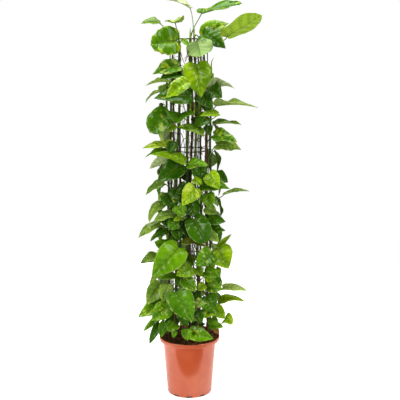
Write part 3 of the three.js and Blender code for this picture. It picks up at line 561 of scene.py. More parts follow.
def tube_place(line: Array, sides: int, seed: float) -> Array:
    """Gives each vertex of a tube its place.

    Args:
        line: Centre of each ring.
        sides: Vertices in a ring.
        seed: Number that sets the tube apart.

    Returns:
        One row a vertex: share round, share along and the seed.
    """
    along = np.repeat(np.linspace(0, 1, len(line)), sides)
    around = np.tile(np.linspace(0, 1, sides, endpoint=False), len(line))
    place = np.stack([around, along, np.full(len(along), seed)], axis=1)
    return np.vstack([place, [[0.5, 0, seed], [0.5, 1, seed]]])


@dataclass(frozen=True)
class Signal:
    """An output of a node on a bench: a value or a colour that varies over the surface."""

    bench: "Bench"
    socket: Socket

    def __mul__(self, other: object) -> "Signal":
        """Multiplies it by a number or by another signal."""
        return self.bench.sum("MULTIPLY", self, other)

    def __add__(self, other: object) -> "Signal":
        """Adds a number or another signal."""
        return self.bench.sum("ADD", self, other)


@dataclass
class Bench:
    """Lays out and joins the nodes of one finish."""

    name: str

    noise_range: ClassVar[Pair] = (0.3, 0.7)

    def __post_init__(self) -> None:
        """Starts an empty material with its shader and output."""
        self.material = bpy.data.materials.new(self.name)
        self.material.use_nodes = True
        self.tree = self.material.node_tree
        self.tree.nodes.clear()
        self.shader = self.put("ShaderNodeBsdfPrincipled")
        self.output = self.put("ShaderNodeOutputMaterial")
        self.feed(self.output.inputs[0], Signal(self, self.shader.outputs[0]))

    def put(self, kind: str, sockets: dict | None = None, **settings: object) -> bpy.types.Node:
        """Puts down a node.

        Args:
            kind: Blender's name of the node type.
            sockets: Input name or number to a value, or to the signal that is joined to it.
            settings: The node's own settings.

        Returns:
            The new node.
        """
        node = self.tree.nodes.new(kind)
        for label, value in settings.items():
            setattr(node, label, value)
        for key, value in (sockets or {}).items():
            self.feed(node.inputs[key], value)
        return node

    def feed(self, socket: Socket, value: object) -> None:
        """Sets an input to a value, or joins a signal to it.

        Args:
            socket: The input.
            value: A value, or the signal that is joined to it.
        """
        if isinstance(value, Signal):
            self.tree.links.new(value.socket, socket)
        else:
            socket.default_value = value

    def read(self, output: int | str, kind: str, sockets: dict, **settings: object) -> Signal:
        """Puts down a node and gives its output of that number or name."""
        return Signal(self, self.put(kind, sockets, **settings).outputs[output])

    def attribute(self, label: str) -> Signal:
        """Gives a mesh attribute as a vector."""
        return self.read("Vector", "ShaderNodeAttribute", {}, attribute_name=label)

    def parts(self, vector: Signal) -> tuple[Signal, ...]:
        """Splits a vector into its three values."""
        outputs = self.put("ShaderNodeSeparateXYZ", {0: vector}).outputs
        return tuple(Signal(self, output) for output in outputs)

    def vector(self, x: object, y: object, z: object) -> Signal:
        """Joins three values into a vector."""
        return self.read(0, "ShaderNodeCombineXYZ", {0: x, 1: y, 2: z})

    def sum(self, operation: str, a: object, b: object = 0.0) -> Signal:
        """Works out one value from two, by a Math node's operation."""
        return self.read(0, "ShaderNodeMath", {0: a, 1: b}, operation=operation)

    def object_place(self) -> Signal:
        """Gives the place in the object's own metres."""
        return self.read("Object", "ShaderNodeTexCoord", {})

    def noise(self, vector: Signal, scale: float, detail: float = 2.0) -> Signal:
        """Gives a soft random value, about 0.5, that varies over the vector."""
        sockets = {"Vector": vector, "Scale": scale, "Detail": detail}
        return self.read(0, "ShaderNodeTexNoise", sockets)

    def grain(self, scale: float, detail: float = 2.0) -> Signal:
        """Gives a noise over the object's own metres."""
        return self.noise(self.object_place(), scale, detail)

    def cells(self, vector: Signal, scale: float) -> Signal:
        """Gives the distance to the nearest of randomly strewn points."""
        return self.read("Distance", "ShaderNodeTexVoronoi", {"Vector": vector, "Scale": scale})

    def step(self, value: object, low: object, high: object) -> Signal:
        """Gives 0 where the value is under low, 1 where it is over high, and a smooth rise between."""
        sockets = {"Value": value, "From Min": low, "From Max": high}
        return self.read(0, "ShaderNodeMapRange", sockets, interpolation_type="SMOOTHSTEP")

    def spread(
        self, value: object, low: float, high: float, to_low: float, to_high: float
    ) -> Signal:
        """Carries a value from one range to another."""
        sockets = {"Value": value, "From Min": low, "From Max": high, "To Min": to_low, "To Max": to_high}
        return self.read(0, "ShaderNodeMapRange", sockets)

    def mix(self, share: object, a: object, b: object, blend: str = "MIX") -> Signal:
        """Mixes two colours by a share from 0 to 1."""
        sockets = {0: share, 6: a, 7: b}
        return self.read(2, "ShaderNodeMix", sockets, data_type="RGBA", blend_type=blend)

    def lay(self, base: object, share: Signal, most: float, over: object) -> Signal:
        """Lays one colour over another, most times the share strong."""
        return self.mix(share * most, base, over)

    def varied(self, noise: object, to_low: float, to_high: float) -> Signal:
        """Carries a noise's usual range to two values."""
        return self.spread(noise, *self.noise_range, to_low, to_high)

    def tinted(self, colour: object, share: object, tint: Tint) -> Signal:
        """Multiplies a colour by a tint that runs from its first to its second as the share rises."""
        return self.mix(1.0, colour, self.mix(share, (*tint[0], 1), (*tint[1], 1)), "MULTIPLY")

    def grazing(self) -> Signal:
        """Gives 0 where the surface faces the eye, rising to 1 where it is seen edge on."""
        return self.read("Facing", "ShaderNodeLayerWeight", {"Blend": 0.5})

    def bump(self, height: object, strength: float, distance: float) -> Signal:
        """Turns a height into a bumped normal, distance in metres."""
        sockets = {"Height": height, "Strength": strength, "Distance": distance}
        return self.read(0, "ShaderNodeBump", sockets)

    def finish(self, **sockets: object) -> Material:
        """Sets the shader's inputs.

        Args:
            sockets: Values or signals by the input's name, with _ for a space.

        Returns:
            The finished material.
        """
        for label, value in sockets.items():
            self.feed(self.shader.inputs[label.replace("_", " ")], value)
        return self.material


@dataclass(frozen=True)
class BladeFinish:
    """Waxy upper face of a blade: green with golden streaks, pale veins and a fine quilting, with painted
    shade along the sunken veins, painted light on the swells and a painted highlight at the rim.
    """

    name: str = "pothos_blade_upper"
    vein_pairs: float = 9.0
    gold: Colour = (206, 214, 52)
    cream: Colour = (228, 230, 150)
    rib: Colour = (166, 190, 60)
    cloud: Tint = ((0.56, 0.64, 0.42), (1.24, 1.14, 1.1))
    # quilt: painted shade along the sunken veins, running to painted light on the swells between them
    quilt: Tint = ((0.74, 0.8, 0.7), (1.12, 1.08, 1.1))
    gloss_range: Pair = (0.42, 0.12)

    def material(self) -> Material:
        """Builds the finish from the blade's own place, hue and marks.

        Returns:
            The finished material.
        """
        bench = Bench(self.name)
        width, along, seed = bench.parts(bench.attribute("place"))
        streaks, mottle, edge = bench.parts(bench.attribute("marks"))
        out = bench.sum("ABSOLUTE", width)
        offset = seed * 53.0
        side = bench.sum("SIGN", width) * 7.0
        broad = bench.vector(width * 0.7, along * 1.6, offset)
        patch = bench.noise(broad, 1.3)
        hue = bench.attribute("hue")
        green = bench.tinted(hue, bench.step(patch, *bench.noise_range), self.cloud)
        ribbon = bench.vector(along * 7.5, out + side, offset)
        streak = bench.noise(ribbon, 1.0, 3.0)
        limit = bench.spread(streaks, 0, 1, 0.7, 0.44)
        gold = bench.step(streak, limit, limit + 0.07)
        dappled = bench.vector(along * 12.0, width * 4.0, offset)
        speckle = bench.noise(dappled, 1.0, 4.0)
        mottled = mottle * bench.step(patch, 0.3, 0.55)
        speck_limit = bench.spread(mottled, 0, 1, 0.74, 0.5)
        specks = bench.step(speckle, speck_limit, speck_limit + 0.05)
        golden = bench.mix(bench.step(patch, 0.4, 0.6), rgba(self.gold), rgba(self.cream))
        golden = bench.mix(bench.varied(speckle, 0.6, 0.1), golden, hue)
        green = bench.lay(green, gold, 0.62, golden)
        green = bench.lay(green, specks, 0.42, golden)
        torn = bench.noise(bench.vector(along * 14.0, side, offset), 1.0, 3.0)
        frayed = out + bench.sum("SUBTRACT", torn, 0.5) * 1.5
        margin = bench.step(frayed, 0.86, 1.05) * edge
        green = bench.lay(green, margin, 0.8, rgba(self.cream))
        beat = bench.sum("PINGPONG", along * self.vein_pairs, 0.5)
        fading = bench.step(out, 1.0, 0.25)
        # Painted shade and light of the quilting: darker along the veins, lighter on the swells between them
        green = bench.mix(fading, green, bench.tinted(green, bench.step(beat, 0.0, 0.34), self.quilt))
        vein = bench.step(beat, 0.06, 0.0) * fading
        green = bench.lay(green, vein, 0.22, rgba(self.rib))
        rib = bench.step(out, 0.045, 0.015)
        green = bench.lay(green, rib, 0.6, rgba(self.rib))
        # A pale rim round every blade: partly the blade's own pale margin, partly a painted highlight along
        # its edge
        pale_rim_and_painted_highlight = bench.step(out, 0.9, 1.0) * bench.spread(torn, 0.45, 0.6, 0.0, 0.5)
        green = bench.mix(pale_rim_and_painted_highlight, green, rgba(self.cream))
        grain = bench.grain(900.0)
        height = beat * fading + grain * 0.03
        height = height + patch * 0.6
        return bench.finish(
            Base_Color=green,
            Specular_IOR_Level=bench.spread(bench.grazing(), 0.5, 0.9, *self.gloss_range),
            Roughness=bench.varied(bench.grain(60.0), 0.12, 0.26),
            Normal=bench.bump(height, 0.6, 0.002),
        )


@dataclass(frozen=True)
class UndersideFinish:
    """Matt underside of a blade: paler green, with the midrib and the veins raised."""

    name: str = "pothos_blade_under"
    vein_pairs: float = 9.0
    pale: Colour = (156, 180, 84)
    rib: Colour = (104, 132, 44)
    cloud: Tint = ((0.8, 0.82, 0.74), (1.1, 1.08, 1.1))
    bands: Tint = ((0.84, 0.88, 0.8), (1.1, 1.07, 1.04))

    def material(self) -> Material:
        """Builds the finish from the blade's own place and hue.

        Returns:
            The finished material.
        """
        bench = Bench(self.name)
        width, along, seed = bench.parts(bench.attribute("place"))
        out = bench.sum("ABSOLUTE", width)
        offset = seed * 31.0
        cloud = bench.noise(bench.vector(width, along * 2.0, offset), 2.0, 3.0)
        green = bench.mix(0.42, bench.attribute("hue"), rgba(self.pale))
        green = bench.tinted(green, cloud, self.cloud)
        beat = bench.sum("PINGPONG", along * self.vein_pairs, 0.5)
        green = bench.mix(0.8, green, bench.tinted(green, bench.step(beat, 0.02, 0.4), self.bands))
        vein = bench.step(beat, 0.08, 0.0) * bench.step(out, 1.0, 0.3)
        green = bench.lay(green, vein, 0.26, rgba(self.rib))
        green = bench.lay(green, bench.step(out, 0.05, 0.02), 0.75, rgba(self.rib))
        grain = bench.grain(700.0)
        height = vein + grain * 0.15
        return bench.finish(
            Base_Color=green,
            Specular_IOR_Level=0.25,
            Roughness=bench.varied(cloud, 0.46, 0.6),
            Normal=bench.bump(height, 0.5, 0.0012),
        )


@dataclass(frozen=True)
class StalkFinish:
    """Smooth green stalk, darker and browner where it leaves the stem."""

    name: str = "pothos_stalk"
    sheath: Colour = (78, 60, 30)
    cloud: Tint = ((0.72, 0.76, 0.66), (1.14, 1.1, 1.1))

    def material(self) -> Material:
        """Builds the finish from the stalk's place and hue.

        Returns:
            The finished material.
        """
        bench = Bench(self.name)
        _, along, seed = bench.parts(bench.attribute("place"))
        stretched = bench.vector(along * 9.0, seed * 40.0, 0.0)
        mottle = bench.noise(stretched, 2.0, 3.0)
        fine = bench.grain(420.0)
        green = bench.tinted(bench.attribute("hue"), mottle, self.cloud)
        foot = bench.step(along, 0.3, 0.0) * 0.55
        green = bench.mix(foot, green, rgba(self.sheath))
        return bench.finish(
            Base_Color=green,
            Roughness=bench.varied(fine, 0.34, 0.5),
            Normal=bench.bump(fine, 0.3, 0.0004),
        )


@dataclass(frozen=True)
class StemFinish:
    """Ridged stem: green, going brown and corky in patches and round its nodes."""

    name: str = "pothos_stem"
    cork: Colour = (122, 78, 44)
    scar: Colour = (34, 28, 10)
    grooves: Tint = ((0.66, 0.7, 0.6), (1.2, 1.14, 1.1))

    def material(self) -> Material:
        """Builds the finish from the stem's place, its hue and its marks: cork and node.

        Returns:
            The finished material.
        """
        bench = Bench(self.name)
        around, along, seed = bench.parts(bench.attribute("place"))
        cork, node, _ = bench.parts(bench.attribute("marks"))
        ridged = bench.vector(around * 6.0, along * 22.0, seed)
        ridges = bench.noise(ridged, 1.6, 3.0)
        fine = bench.grain(260.0, 3.0)
        green = bench.tinted(bench.attribute("hue"), ridges, self.grooves)
        limit = bench.spread(cork, 0, 1, 0.78, 0.3)
        brown = bench.step(fine, limit, limit + 0.12)
        green = bench.mix(brown, green, rgba(self.cork))
        green = bench.lay(green, node, 0.6, rgba(self.scar))
        height = ridges + fine * 0.7
        return bench.finish(
            Base_Color=green,
            Roughness=bench.varied(fine, 0.42, 0.66),
            Normal=bench.bump(height, 0.6, 0.0008),
        )


@dataclass(frozen=True)
class PlasticFinish:
    """Terracotta-coloured moulded plastic: satin, faintly mottled, scuffed and dusty at the foot, with
    painted shadow inside the drain notches.
    """

    name: str = "terracotta_plastic"
    body: Colour = (189, 93, 56)
    pale: Colour = (204, 121, 87)
    dust: Colour = (150, 118, 92)
    # Colour of the painted shadow inside the drain notches; below it, the reach and height of the notch that
    # it fills
    notch_painted_shadow: Colour = (24, 14, 8)
    notch_reach: Pair = (0.0874, 0.0868)
    notch_height: Pair = (0.0068, 0.0062)

    def material(self) -> Material:
        """Builds the finish over the pot's own metres.

        Returns:
            The finished material.
        """
        bench = Bench(self.name)
        place = bench.object_place()
        x, y, height = bench.parts(place)
        cloud = bench.noise(place, 9.0, 4.0)
        grain = bench.noise(place, 620.0)
        tone = bench.mix(bench.step(cloud, 0.38, 0.66), rgba(self.body), rgba(self.pale))
        base = bench.mix(0.55, tone, rgba(self.body))
        stretched = bench.read(0, "ShaderNodeMapping", {"Vector": place, "Scale": (26, 26, 420)})
        scratch = bench.noise(stretched, 1.0)
        base = bench.lay(base, bench.step(scratch, 0.62, 0.74), 0.2, rgba(self.pale))
        near_foot = bench.step(height, 0.03, 0.0)
        specks = bench.step(bench.noise(place, 190.0, 3.0), 0.56, 0.66)
        soiled = specks * near_foot * 0.5
        base = bench.mix(soiled, base, rgba(self.dust))
        # Painted shadow: the inside of each drain notch is darkened near to black
        square = x * x + y * y
        inside = bench.step(bench.sum("SQRT", square), *self.notch_reach)
        painted_notch_shadow = bench.step(height, *self.notch_height) * inside
        base = bench.lay(base, painted_notch_shadow, 0.9, rgba(self.notch_painted_shadow))
        relief = grain * 0.6 + scratch * 0.4
        return bench.finish(
            Base_Color=base,
            Roughness=bench.varied(cloud, 0.13, 0.2),
            # The gloss is taken away in the notches too, as part of their painted shadow
            Specular_IOR_Level=bench.spread(painted_notch_shadow, 0, 1, 0.8, 0.02),
            Normal=bench.bump(relief, 0.1, 0.0003),
        )


@dataclass(frozen=True)
class SoilFinish:
    """Moist potting mix: near black to brown, with straw-coloured fibres."""

    name: str = "potting_mix"
    wet: Colour = (80, 48, 28)
    dry: Colour = (170, 112, 68)
    fibre: Colour = (154, 122, 84)

    def material(self) -> Material:
        """Builds the finish over the soil's own metres.

        Returns:
            The finished material.
        """
        bench = Bench(self.name)
        place = bench.object_place()
        clods = bench.noise(place, 130.0, 4.0)
        fine = bench.noise(place, 620.0, 3.0)
        brown = bench.mix(bench.step(clods, 0.4, 0.66), rgba(self.wet), rgba(self.dry))
        fibres = bench.step(bench.cells(place, 240.0), 0.14, 0.06)
        brown = bench.lay(brown, fibres, 0.5, rgba(self.fibre))
        height = clods + fine * 0.6
        return bench.finish(
            Base_Color=brown,
            Roughness=bench.varied(fine, 0.8, 0.98),
            Normal=bench.bump(height, 0.9, 0.003),
        )


@dataclass(frozen=True)
class WireFinish:
    """Dark green coating on steel wire, rubbed through to rust in places, most at the top."""

    name: str = "coated_wire"
    coat: Colour = (46, 58, 36)
    worn: Colour = (64, 76, 50)
    rust: Colour = (132, 74, 46)
    rusty_above: float = 1.36

    def material(self) -> Material:
        """Builds the finish over the column's own metres.

        Returns:
            The finished material.
        """
        bench = Bench(self.name)
        place = bench.object_place()
        _, _, height = bench.parts(place)
        patch = bench.noise(place, 46.0, 4.0)
        fine = bench.noise(place, 500.0)
        limit = bench.spread(height, self.rusty_above - 0.04, self.rusty_above, 0.66, 0.44)
        rust = bench.step(patch, limit, limit + 0.06)
        coat = bench.mix(fine, rgba(self.coat), rgba(self.worn))
        return bench.finish(
            Base_Color=bench.mix(rust, coat, rgba(self.rust)),
            Roughness=bench.spread(rust, 0, 1, 0.4, 0.8),
            Normal=bench.bump(fine + rust * 0.6, 0.4, 0.0004),
        )


@dataclass(frozen=True)
class HuskFinish:
    """Dry papery straw of dead sheaths and aerial roots."""

    name: str = "dry_husk"
    straw: Colour = (132, 92, 50)
    brown: Colour = (66, 42, 22)

    def material(self) -> Material:
        """Builds the finish from the husk's place.

        Returns:
            The finished material.
        """
        bench = Bench(self.name)
        around, along, seed = bench.parts(bench.attribute("place"))
        grain = bench.noise(bench.vector(around * 14.0, along, seed), 3.0, 3.0)
        blotch = bench.grain(120.0, 3.0)
        colour = bench.mix(bench.step(blotch, 0.36, 0.64), rgba(self.brown), rgba(self.straw))
        colour = bench.lay(colour, bench.step(grain, 0.5, 0.7), 0.4, rgba(self.brown))
        return bench.finish(
            Base_Color=colour,
            Roughness=bench.varied(blotch, 0.6, 0.85),
            Normal=bench.bump(grain, 0.5, 0.0006),
        )


@dataclass(frozen=True)
class FloorFinish:
    """Plain white studio floor, very faintly uneven."""

    name: str = "studio_floor"
    glow: float = 0.62

    def material(self) -> Material:
        """Builds the finish over the floor's own metres.

        Returns:
            The finished material.
        """
        bench = Bench(self.name)
        cloud = bench.grain(3.0)
        return bench.finish(
            Base_Color=bench.mix(cloud, (0.9, 0.9, 0.9, 1), (0.94, 0.94, 0.94, 1)),
            Roughness=bench.varied(cloud, 0.7, 0.8),
            Normal=bench.bump(cloud, 0.05, 0.001),
            Emission_Color=(1, 1, 1, 1),
            Emission_Strength=self.glow,
        )


@dataclass(frozen=True)
class StemLine:
    """Where one vine's stem runs: plumb out of the soil, then winding up the column."""

    angle: float
    winds: float
    top: float
    radius: float
    circle: float = 83.0
    straight_to: float = 262.0
    eased_over: float = 150.0
    winding_height: float = 1400.0
    sway_out: Pair = (2.2, 74.0)
    sway_round: Pair = (2.6, 118.0)

    def at(self, height: float) -> Array:
        """Gives the stem's centre at a height.

        Args:
            height: Height over the pot's foot.

        Returns:
            Its x, y and height.
        """
        climb = max(0.0, height - self.straight_to)
        ease = min(1.0, climb / self.eased_over)
        share = climb / (self.winding_height - self.straight_to)
        out = self.circle + ease * self.sway_out[0] * math.sin(height / self.sway_out[1] + self.angle)
        swing = ease * self.sway_round[0] * math.sin(height / self.sway_round[1] + 2 * self.angle)
        angle = math.radians(self.angle + self.winds * share + swing)
        return np.array([out * math.sin(angle), -out * math.cos(angle), height])


STEMS = [
    StemLine(-75, 32, 1338, 4.0),
    StemLine(-42, 19, 1388, 5.0),
    StemLine(-8, 10, 1398, 5.4),
    StemLine(24, -9, 1404, 4.6),
    StemLine(62, -18, 1346, 4.4),
    StemLine(98, -12, 1290, 4.0),
    StemLine(150, -4, 1350, 4.0),
    StemLine(180, -8, 1372, 4.4),
    StemLine(-142, 10, 1330, 4.0),
    StemLine(-108, 12, 1262, 3.8),
]


@dataclass
class Blade:
    """One heart-shaped blade on its stalk, and where its solid stands."""

    index: int
    width: float
    turn: float
    outward: Array
    tone: Tone
    marks: tuple[float, float, float]
    vine: int
    root: float | None = None
    form: Form | None = None
    bow: float = 0.16
    roll: float = 0.0
    torn: float = 0.0
    lean: float = 0.0
    base: Array | None = None
    tip: Array | None = None

    rows: ClassVar[int] = 36
    vein_pairs: ClassVar[float] = 9.0
    ripple: ClassVar[float] = 0.026
    quilt: ClassVar[float] = 0.007
    twist: ClassVar[float] = 0.05
    teeth: ClassVar[float] = 4.6
    across_shares: ClassVar[tuple[float, ...]] = (0.03, 0.1, 0.24, 0.42, 0.62, 0.82, 1.0)
    fold: ClassVar[float] = math.radians(15)
    wave: ClassVar[float] = 0.045
    small_from: ClassVar[float] = 61.0
    broad_from: ClassVar[float] = 98.0
    neck_half: ClassVar[float] = 2.2
    stalk_green: ClassVar[Colour] = (84, 108, 30)
    waves: ClassVar[float] = 1.7
    wave_step: ClassVar[float] = 0.31
    side_shift: ClassVar[float] = 0.45
    ripple_counts: ClassVar[Pair] = (3.3, 7.0)
    move_step: ClassVar[float] = 10.0
    most_moves: ClassVar[int] = 8
    match_within: ClassVar[float] = 1.2
    vein_sweep: ClassVar[float] = 1.2
    torn_from: ClassVar[float] = 0.2
    torn_over: ClassVar[float] = 0.4
    groove: ClassVar[float] = 0.04
    seed_step: ClassVar[float] = 0.618
    thick: ClassVar[float] = 1.15
    thinning: ClassVar[float] = 0.65
    keel_depth: ClassVar[float] = 1.1
    keel_width: ClassVar[float] = 5.0
    root_drop: ClassVar[float] = 22.0
    root_slope: ClassVar[float] = 0.42
    over_soil: ClassVar[float] = 14.0
    tied: ClassVar[Pair] = (955.0, 982.0)
    under_tip: ClassVar[float] = 4.0
    stalk_rise: ClassVar[Pair] = (0.25, 0.2)
    stalk_neck: ClassVar[Pair] = (0.16, 0.2)
    stalk_points: ClassVar[int] = 15
    stalk_sides: ClassVar[int] = 8
    stalk_radius: ClassVar[float] = 1.75
    slimmest: ClassVar[float] = 0.72
    full_stalk_from: ClassVar[float] = 90.0
    sheath: ClassVar[Pair] = (1.5, 0.2)
    collar: ClassVar[Pair] = (0.35, 0.06)
    rib_shares: ClassVar[tuple[float, ...]] = (0.03, 0.09, 0.18, 0.3, 0.46)
    rib_radii: ClassVar[tuple[float, ...]] = (1.5, 1.2, 0.95, 0.7, 0.3)
    rib_depth: ClassVar[float] = 1.1

    def ends(self, moved: float) -> tuple[Array, Array]:
        """Gives the stalk's end and the tip after a move; each kind of blade moves its own way."""
        raise NotImplementedError

    def settle(self, solid: Array) -> bool:
        """Finds how far the blade's solid was moved, and stands the blade there.

        Args:
            solid: Vertices of the vine's solid.

        Returns:
            Whether the solid has this blade.
        """
        moves = [0.0]
        for i in range(1, self.most_moves + 1):
            moves.extend([-self.move_step * i, self.move_step * i])
        for moved in moves:
            base, tip = self.ends(moved)
            if np.min(np.linalg.norm(solid - tip, axis=1)) < self.match_within:
                self.base, self.tip = base, tip
                return True
        return False

    def frame(self) -> None:
        """Works out the blade's length, its face, its width direction and its crest."""
        span = self.tip - self.base
        self.length = float(np.linalg.norm(span))
        self.along = span / self.length
        turn = math.radians(self.turn)
        face = square_to(UP * math.cos(turn) + self.outward * math.sin(turn), self.along)
        self.face = turned(face, self.along, self.roll)
        self.across = np.cross(self.along, self.face)
        self.crest = (self.base + self.tip) / 2 + self.face * self.bow * self.length

    def midrib(self, share: Array) -> tuple[Array, Array]:
        """Gives points on the midrib and the face's direction there.

        Args:
            share: Shares of the length from the stalk; less than 0 runs back past it.

        Returns:
            Points and directions, one row for each share.
        """
        reach = np.maximum(0, share)[..., None]
        point = self.base * (1 - reach) ** 2 + self.crest * 2 * reach * (1 - reach) + self.tip * reach**2
        slope = (self.crest - self.base) * 2 * (1 - reach) + (self.tip - self.crest) * 2 * reach
        point = point + slope * (share[..., None] - reach)
        return point, square_to(np.broadcast_to(self.face, slope.shape), slope)

    def outline(self) -> tuple[Array, Array, Array]:
        """Draws half of the outline.

        Returns:
            Share along and share of the half width at each row, and the share of the midrib
            from which that row's vein leaves.
        """
        form = self.form or self.form_of_width()
        points = np.array([(0, 2 * self.neck_half / self.width, 0), *form.value, (1, 0, 1)])
        line = smooth_line(points[:, :2], self.rows + 1)
        line[:, 1] = np.maximum(line[:, 1], 0)
        steps = np.linalg.norm(np.diff(points[:, :2], axis=0), axis=1)
        travelled = np.concatenate([[0], np.cumsum(steps)])
        shares = np.linspace(0, travelled[-1], self.rows + 1)
        return line[:, 0], line[:, 1], np.interp(shares, travelled, points[:, 2])

    def form_of_width(self) -> Form:
        """Gives the form that a blade of this width has."""
        larger = Form.SMALL if self.width < self.broad_from else Form.BROAD
        return Form.TINY if self.width < self.small_from else larger

    def sheet(self) -> tuple[Array, Array, Array]:
        """Lays the blade's middle out as a grid, from the left margin over the midrib to the right.

        Returns:
            Points, face directions and places, each rows + 1 by columns by 3.
        """
        ends, halves, starts = self.outline()
        teeth = np.abs(np.sin(self.teeth * math.pi * ends))
        bites = teeth * np.clip((ends - self.torn_from) / self.torn_over, 0, 1)
        halves = halves * (1 - self.torn * bites)
        inner = np.array([0.0, *self.across_shares])
        signed = np.concatenate([-inner[:0:-1], inner])
        out = np.abs(signed)
        share = starts[:, None] + (ends - starts)[:, None] * out**self.vein_sweep
        share = share + self.lean * (halves * (1 - ends))[:, None] * signed
        half = halves[:, None] * out * self.width / 2
        point, normal = self.midrib(share)
        side_phase = np.where(signed > 0, 0, self.side_shift)[None, :]
        phase = self.waves * share + self.wave_step * self.index + side_phase
        wave = self.wave * self.width * halves[:, None] * out**2 * np.sin(FULL_TURN * phase)
        groove = np.sin(math.pi * out**0.8) - 0.5 * np.exp(-((out / 0.06) ** 2))
        own = (self.index * self.seed_step) % 1
        vein = np.broadcast_to(np.linspace(0, 1, len(ends))[:, None], share.shape)
        sided = np.where(signed > 0, 0.0, 0.37)[None, :]
        few, many = self.ripple_counts
        ripples = np.sin(FULL_TURN * (few * vein + 5 * own + sided))
        ripples = ripples + 0.5 * np.sin(FULL_TURN * (many * vein + 3 * own))
        relief = self.groove * groove * halves[:, None] + self.ripple * ripples * out**3 * halves[:, None]
        relief = relief - self.quilt * np.cos(FULL_TURN * self.vein_pairs * vein) * np.sin(math.pi * out)
        twisted = self.twist * np.sin(FULL_TURN * (share + own)) * np.sign(signed)
        relief = relief + twisted * out * halves[:, None]
        lift = half * math.sin(self.fold) + wave + relief * self.width
        sideways = np.sign(signed) * half * math.cos(self.fold)
        point = point + self.across * sideways[..., None] + normal * lift[..., None]
        seed = np.full(share.shape, own)
        place = np.stack([np.broadcast_to(signed, share.shape), vein, seed], axis=2)
        return point, normal, place

    def blade_into(self, bundle: Bundle) -> None:
        """Adds the thin closed blade, its upper face in slot 0 and the rest in slot 1.

        Args:
            bundle: The foliage in the making.
        """
        point, normal, place = self.sheet()
        columns = point.shape[1]
        last = self.rows
        out = np.abs(place[:, :, 0:1])
        thickness = self.thick - self.thinning * out**2
        fading = 1 - np.linspace(0, 1, last + 1)[:, None, None]
        keel = self.keel_depth * np.exp(-((out * self.width / self.keel_width) ** 2)) * fading
        sheets = [point + normal * thickness / 2, point - normal * (thickness / 2 + keel)]
        middle = columns // 2
        spots, places = [], []
        for sheet in sheets:
            for grid, kept in ((sheet, spots), (place, places)):
                kept.extend([grid[:last].reshape(-1, 3), grid[last, middle][None, :]])
        count = last * columns + 1
        faces = []
        for i in range(last - 1):
            for k in range(columns - 1):
                corner = i * columns + k
                faces.append((corner, corner + 1, corner + columns + 1, corner + columns))
        final = (last - 1) * columns
        faces.extend((final + k, final + k + 1, count - 1) for k in range(columns - 1))
        slots = [0] * len(faces)
        under = [tuple(corner + count for corner in reversed(face)) for face in faces]
        rim = list(range(columns))
        rim.extend(i * columns + columns - 1 for i in range(1, last))
        rim.append(count - 1)
        rim.extend(i * columns for i in range(last - 1, 0, -1))
        around = zip(rim, rim[1:] + rim[:1])
        edge = [(start + count, after + count, after, start) for start, after in around]
        slots.extend([1] * (len(under) + len(edge)))
        hue = linear(self.tone.value)
        marks = np.array(self.marks)
        bundle.add(np.vstack(spots), faces + under + edge, slots, np.vstack(places), hue, marks)

    def stalk_height(self) -> float:
        """Works out where the stalk leaves its stem.

        Returns:
            A height below the blade, clear of the ties.
        """
        stem = STEMS[self.vine - 1]
        at = stem.at(min(self.base[2], stem.top))
        distance = math.hypot(at[0] - self.base[0], at[1] - self.base[1])
        height = self.root
        if height is None:
            height = self.base[2] - self.root_drop - self.root_slope * distance
        height = max(height, PottingSoil.top + self.over_soil)
        under, over = self.tied
        if under < height < over:
            height = over
        return min(height, stem.top - self.under_tip)

    def stalk_line(self, count: int) -> Array:
        """Draws the stalk's centre line.

        Args:
            count: How many places.

        Returns:
            Its places, up from the stem and over into the blade from behind.
        """
        root = STEMS[self.vine - 1].at(self.stalk_height())
        span = self.base - root
        reach = float(np.linalg.norm(span))
        rise = root + span * self.stalk_rise[0] + UP * self.stalk_rise[1] * reach
        neck = self.base - self.along * self.stalk_neck[0] * reach - self.face * self.stalk_neck[1] * reach
        share = np.linspace(0, 1, count)[:, None]
        line = root * (1 - share) ** 3 + rise * 3 * share * (1 - share) ** 2
        return line + neck * 3 * share**2 * (1 - share) + self.base * share**3

    def stalk_into(self, bundle: Bundle) -> None:
        """Adds the stalk in slot 2: a sheath at the stem, then slimmer, then a rib under the blade.

        Args:
            bundle: The foliage in the making.
        """
        line = self.stalk_line(self.stalk_points)
        under, normal = self.midrib(np.array(self.rib_shares))
        rib = under - normal * self.rib_depth
        size = self.slimmest + (1 - self.slimmest) * min(1.0, self.width / self.full_stalk_from)
        share = np.linspace(0, 1, len(line))
        sheath = self.sheath[0] * np.exp(-((share / self.sheath[1]) ** 2))
        collar = self.collar[0] * np.exp(-(((1 - share) / self.collar[1]) ** 2))
        radii = size * (self.stalk_radius + sheath + collar)
        radii = np.concatenate([radii, size * np.array(self.rib_radii)])
        line = np.vstack([line, rib])
        spots, faces = tube(line, radii, self.stalk_sides)
        hue = linear(self.tone.value) * 0.3 + linear(self.stalk_green) * 0.7
        if self.tone is Tone.HUSK:
            hue = linear(self.tone.value)
        bundle.add(spots, faces, 2, tube_place(line, self.stalk_sides, self.index * 0.37 % 1), hue)


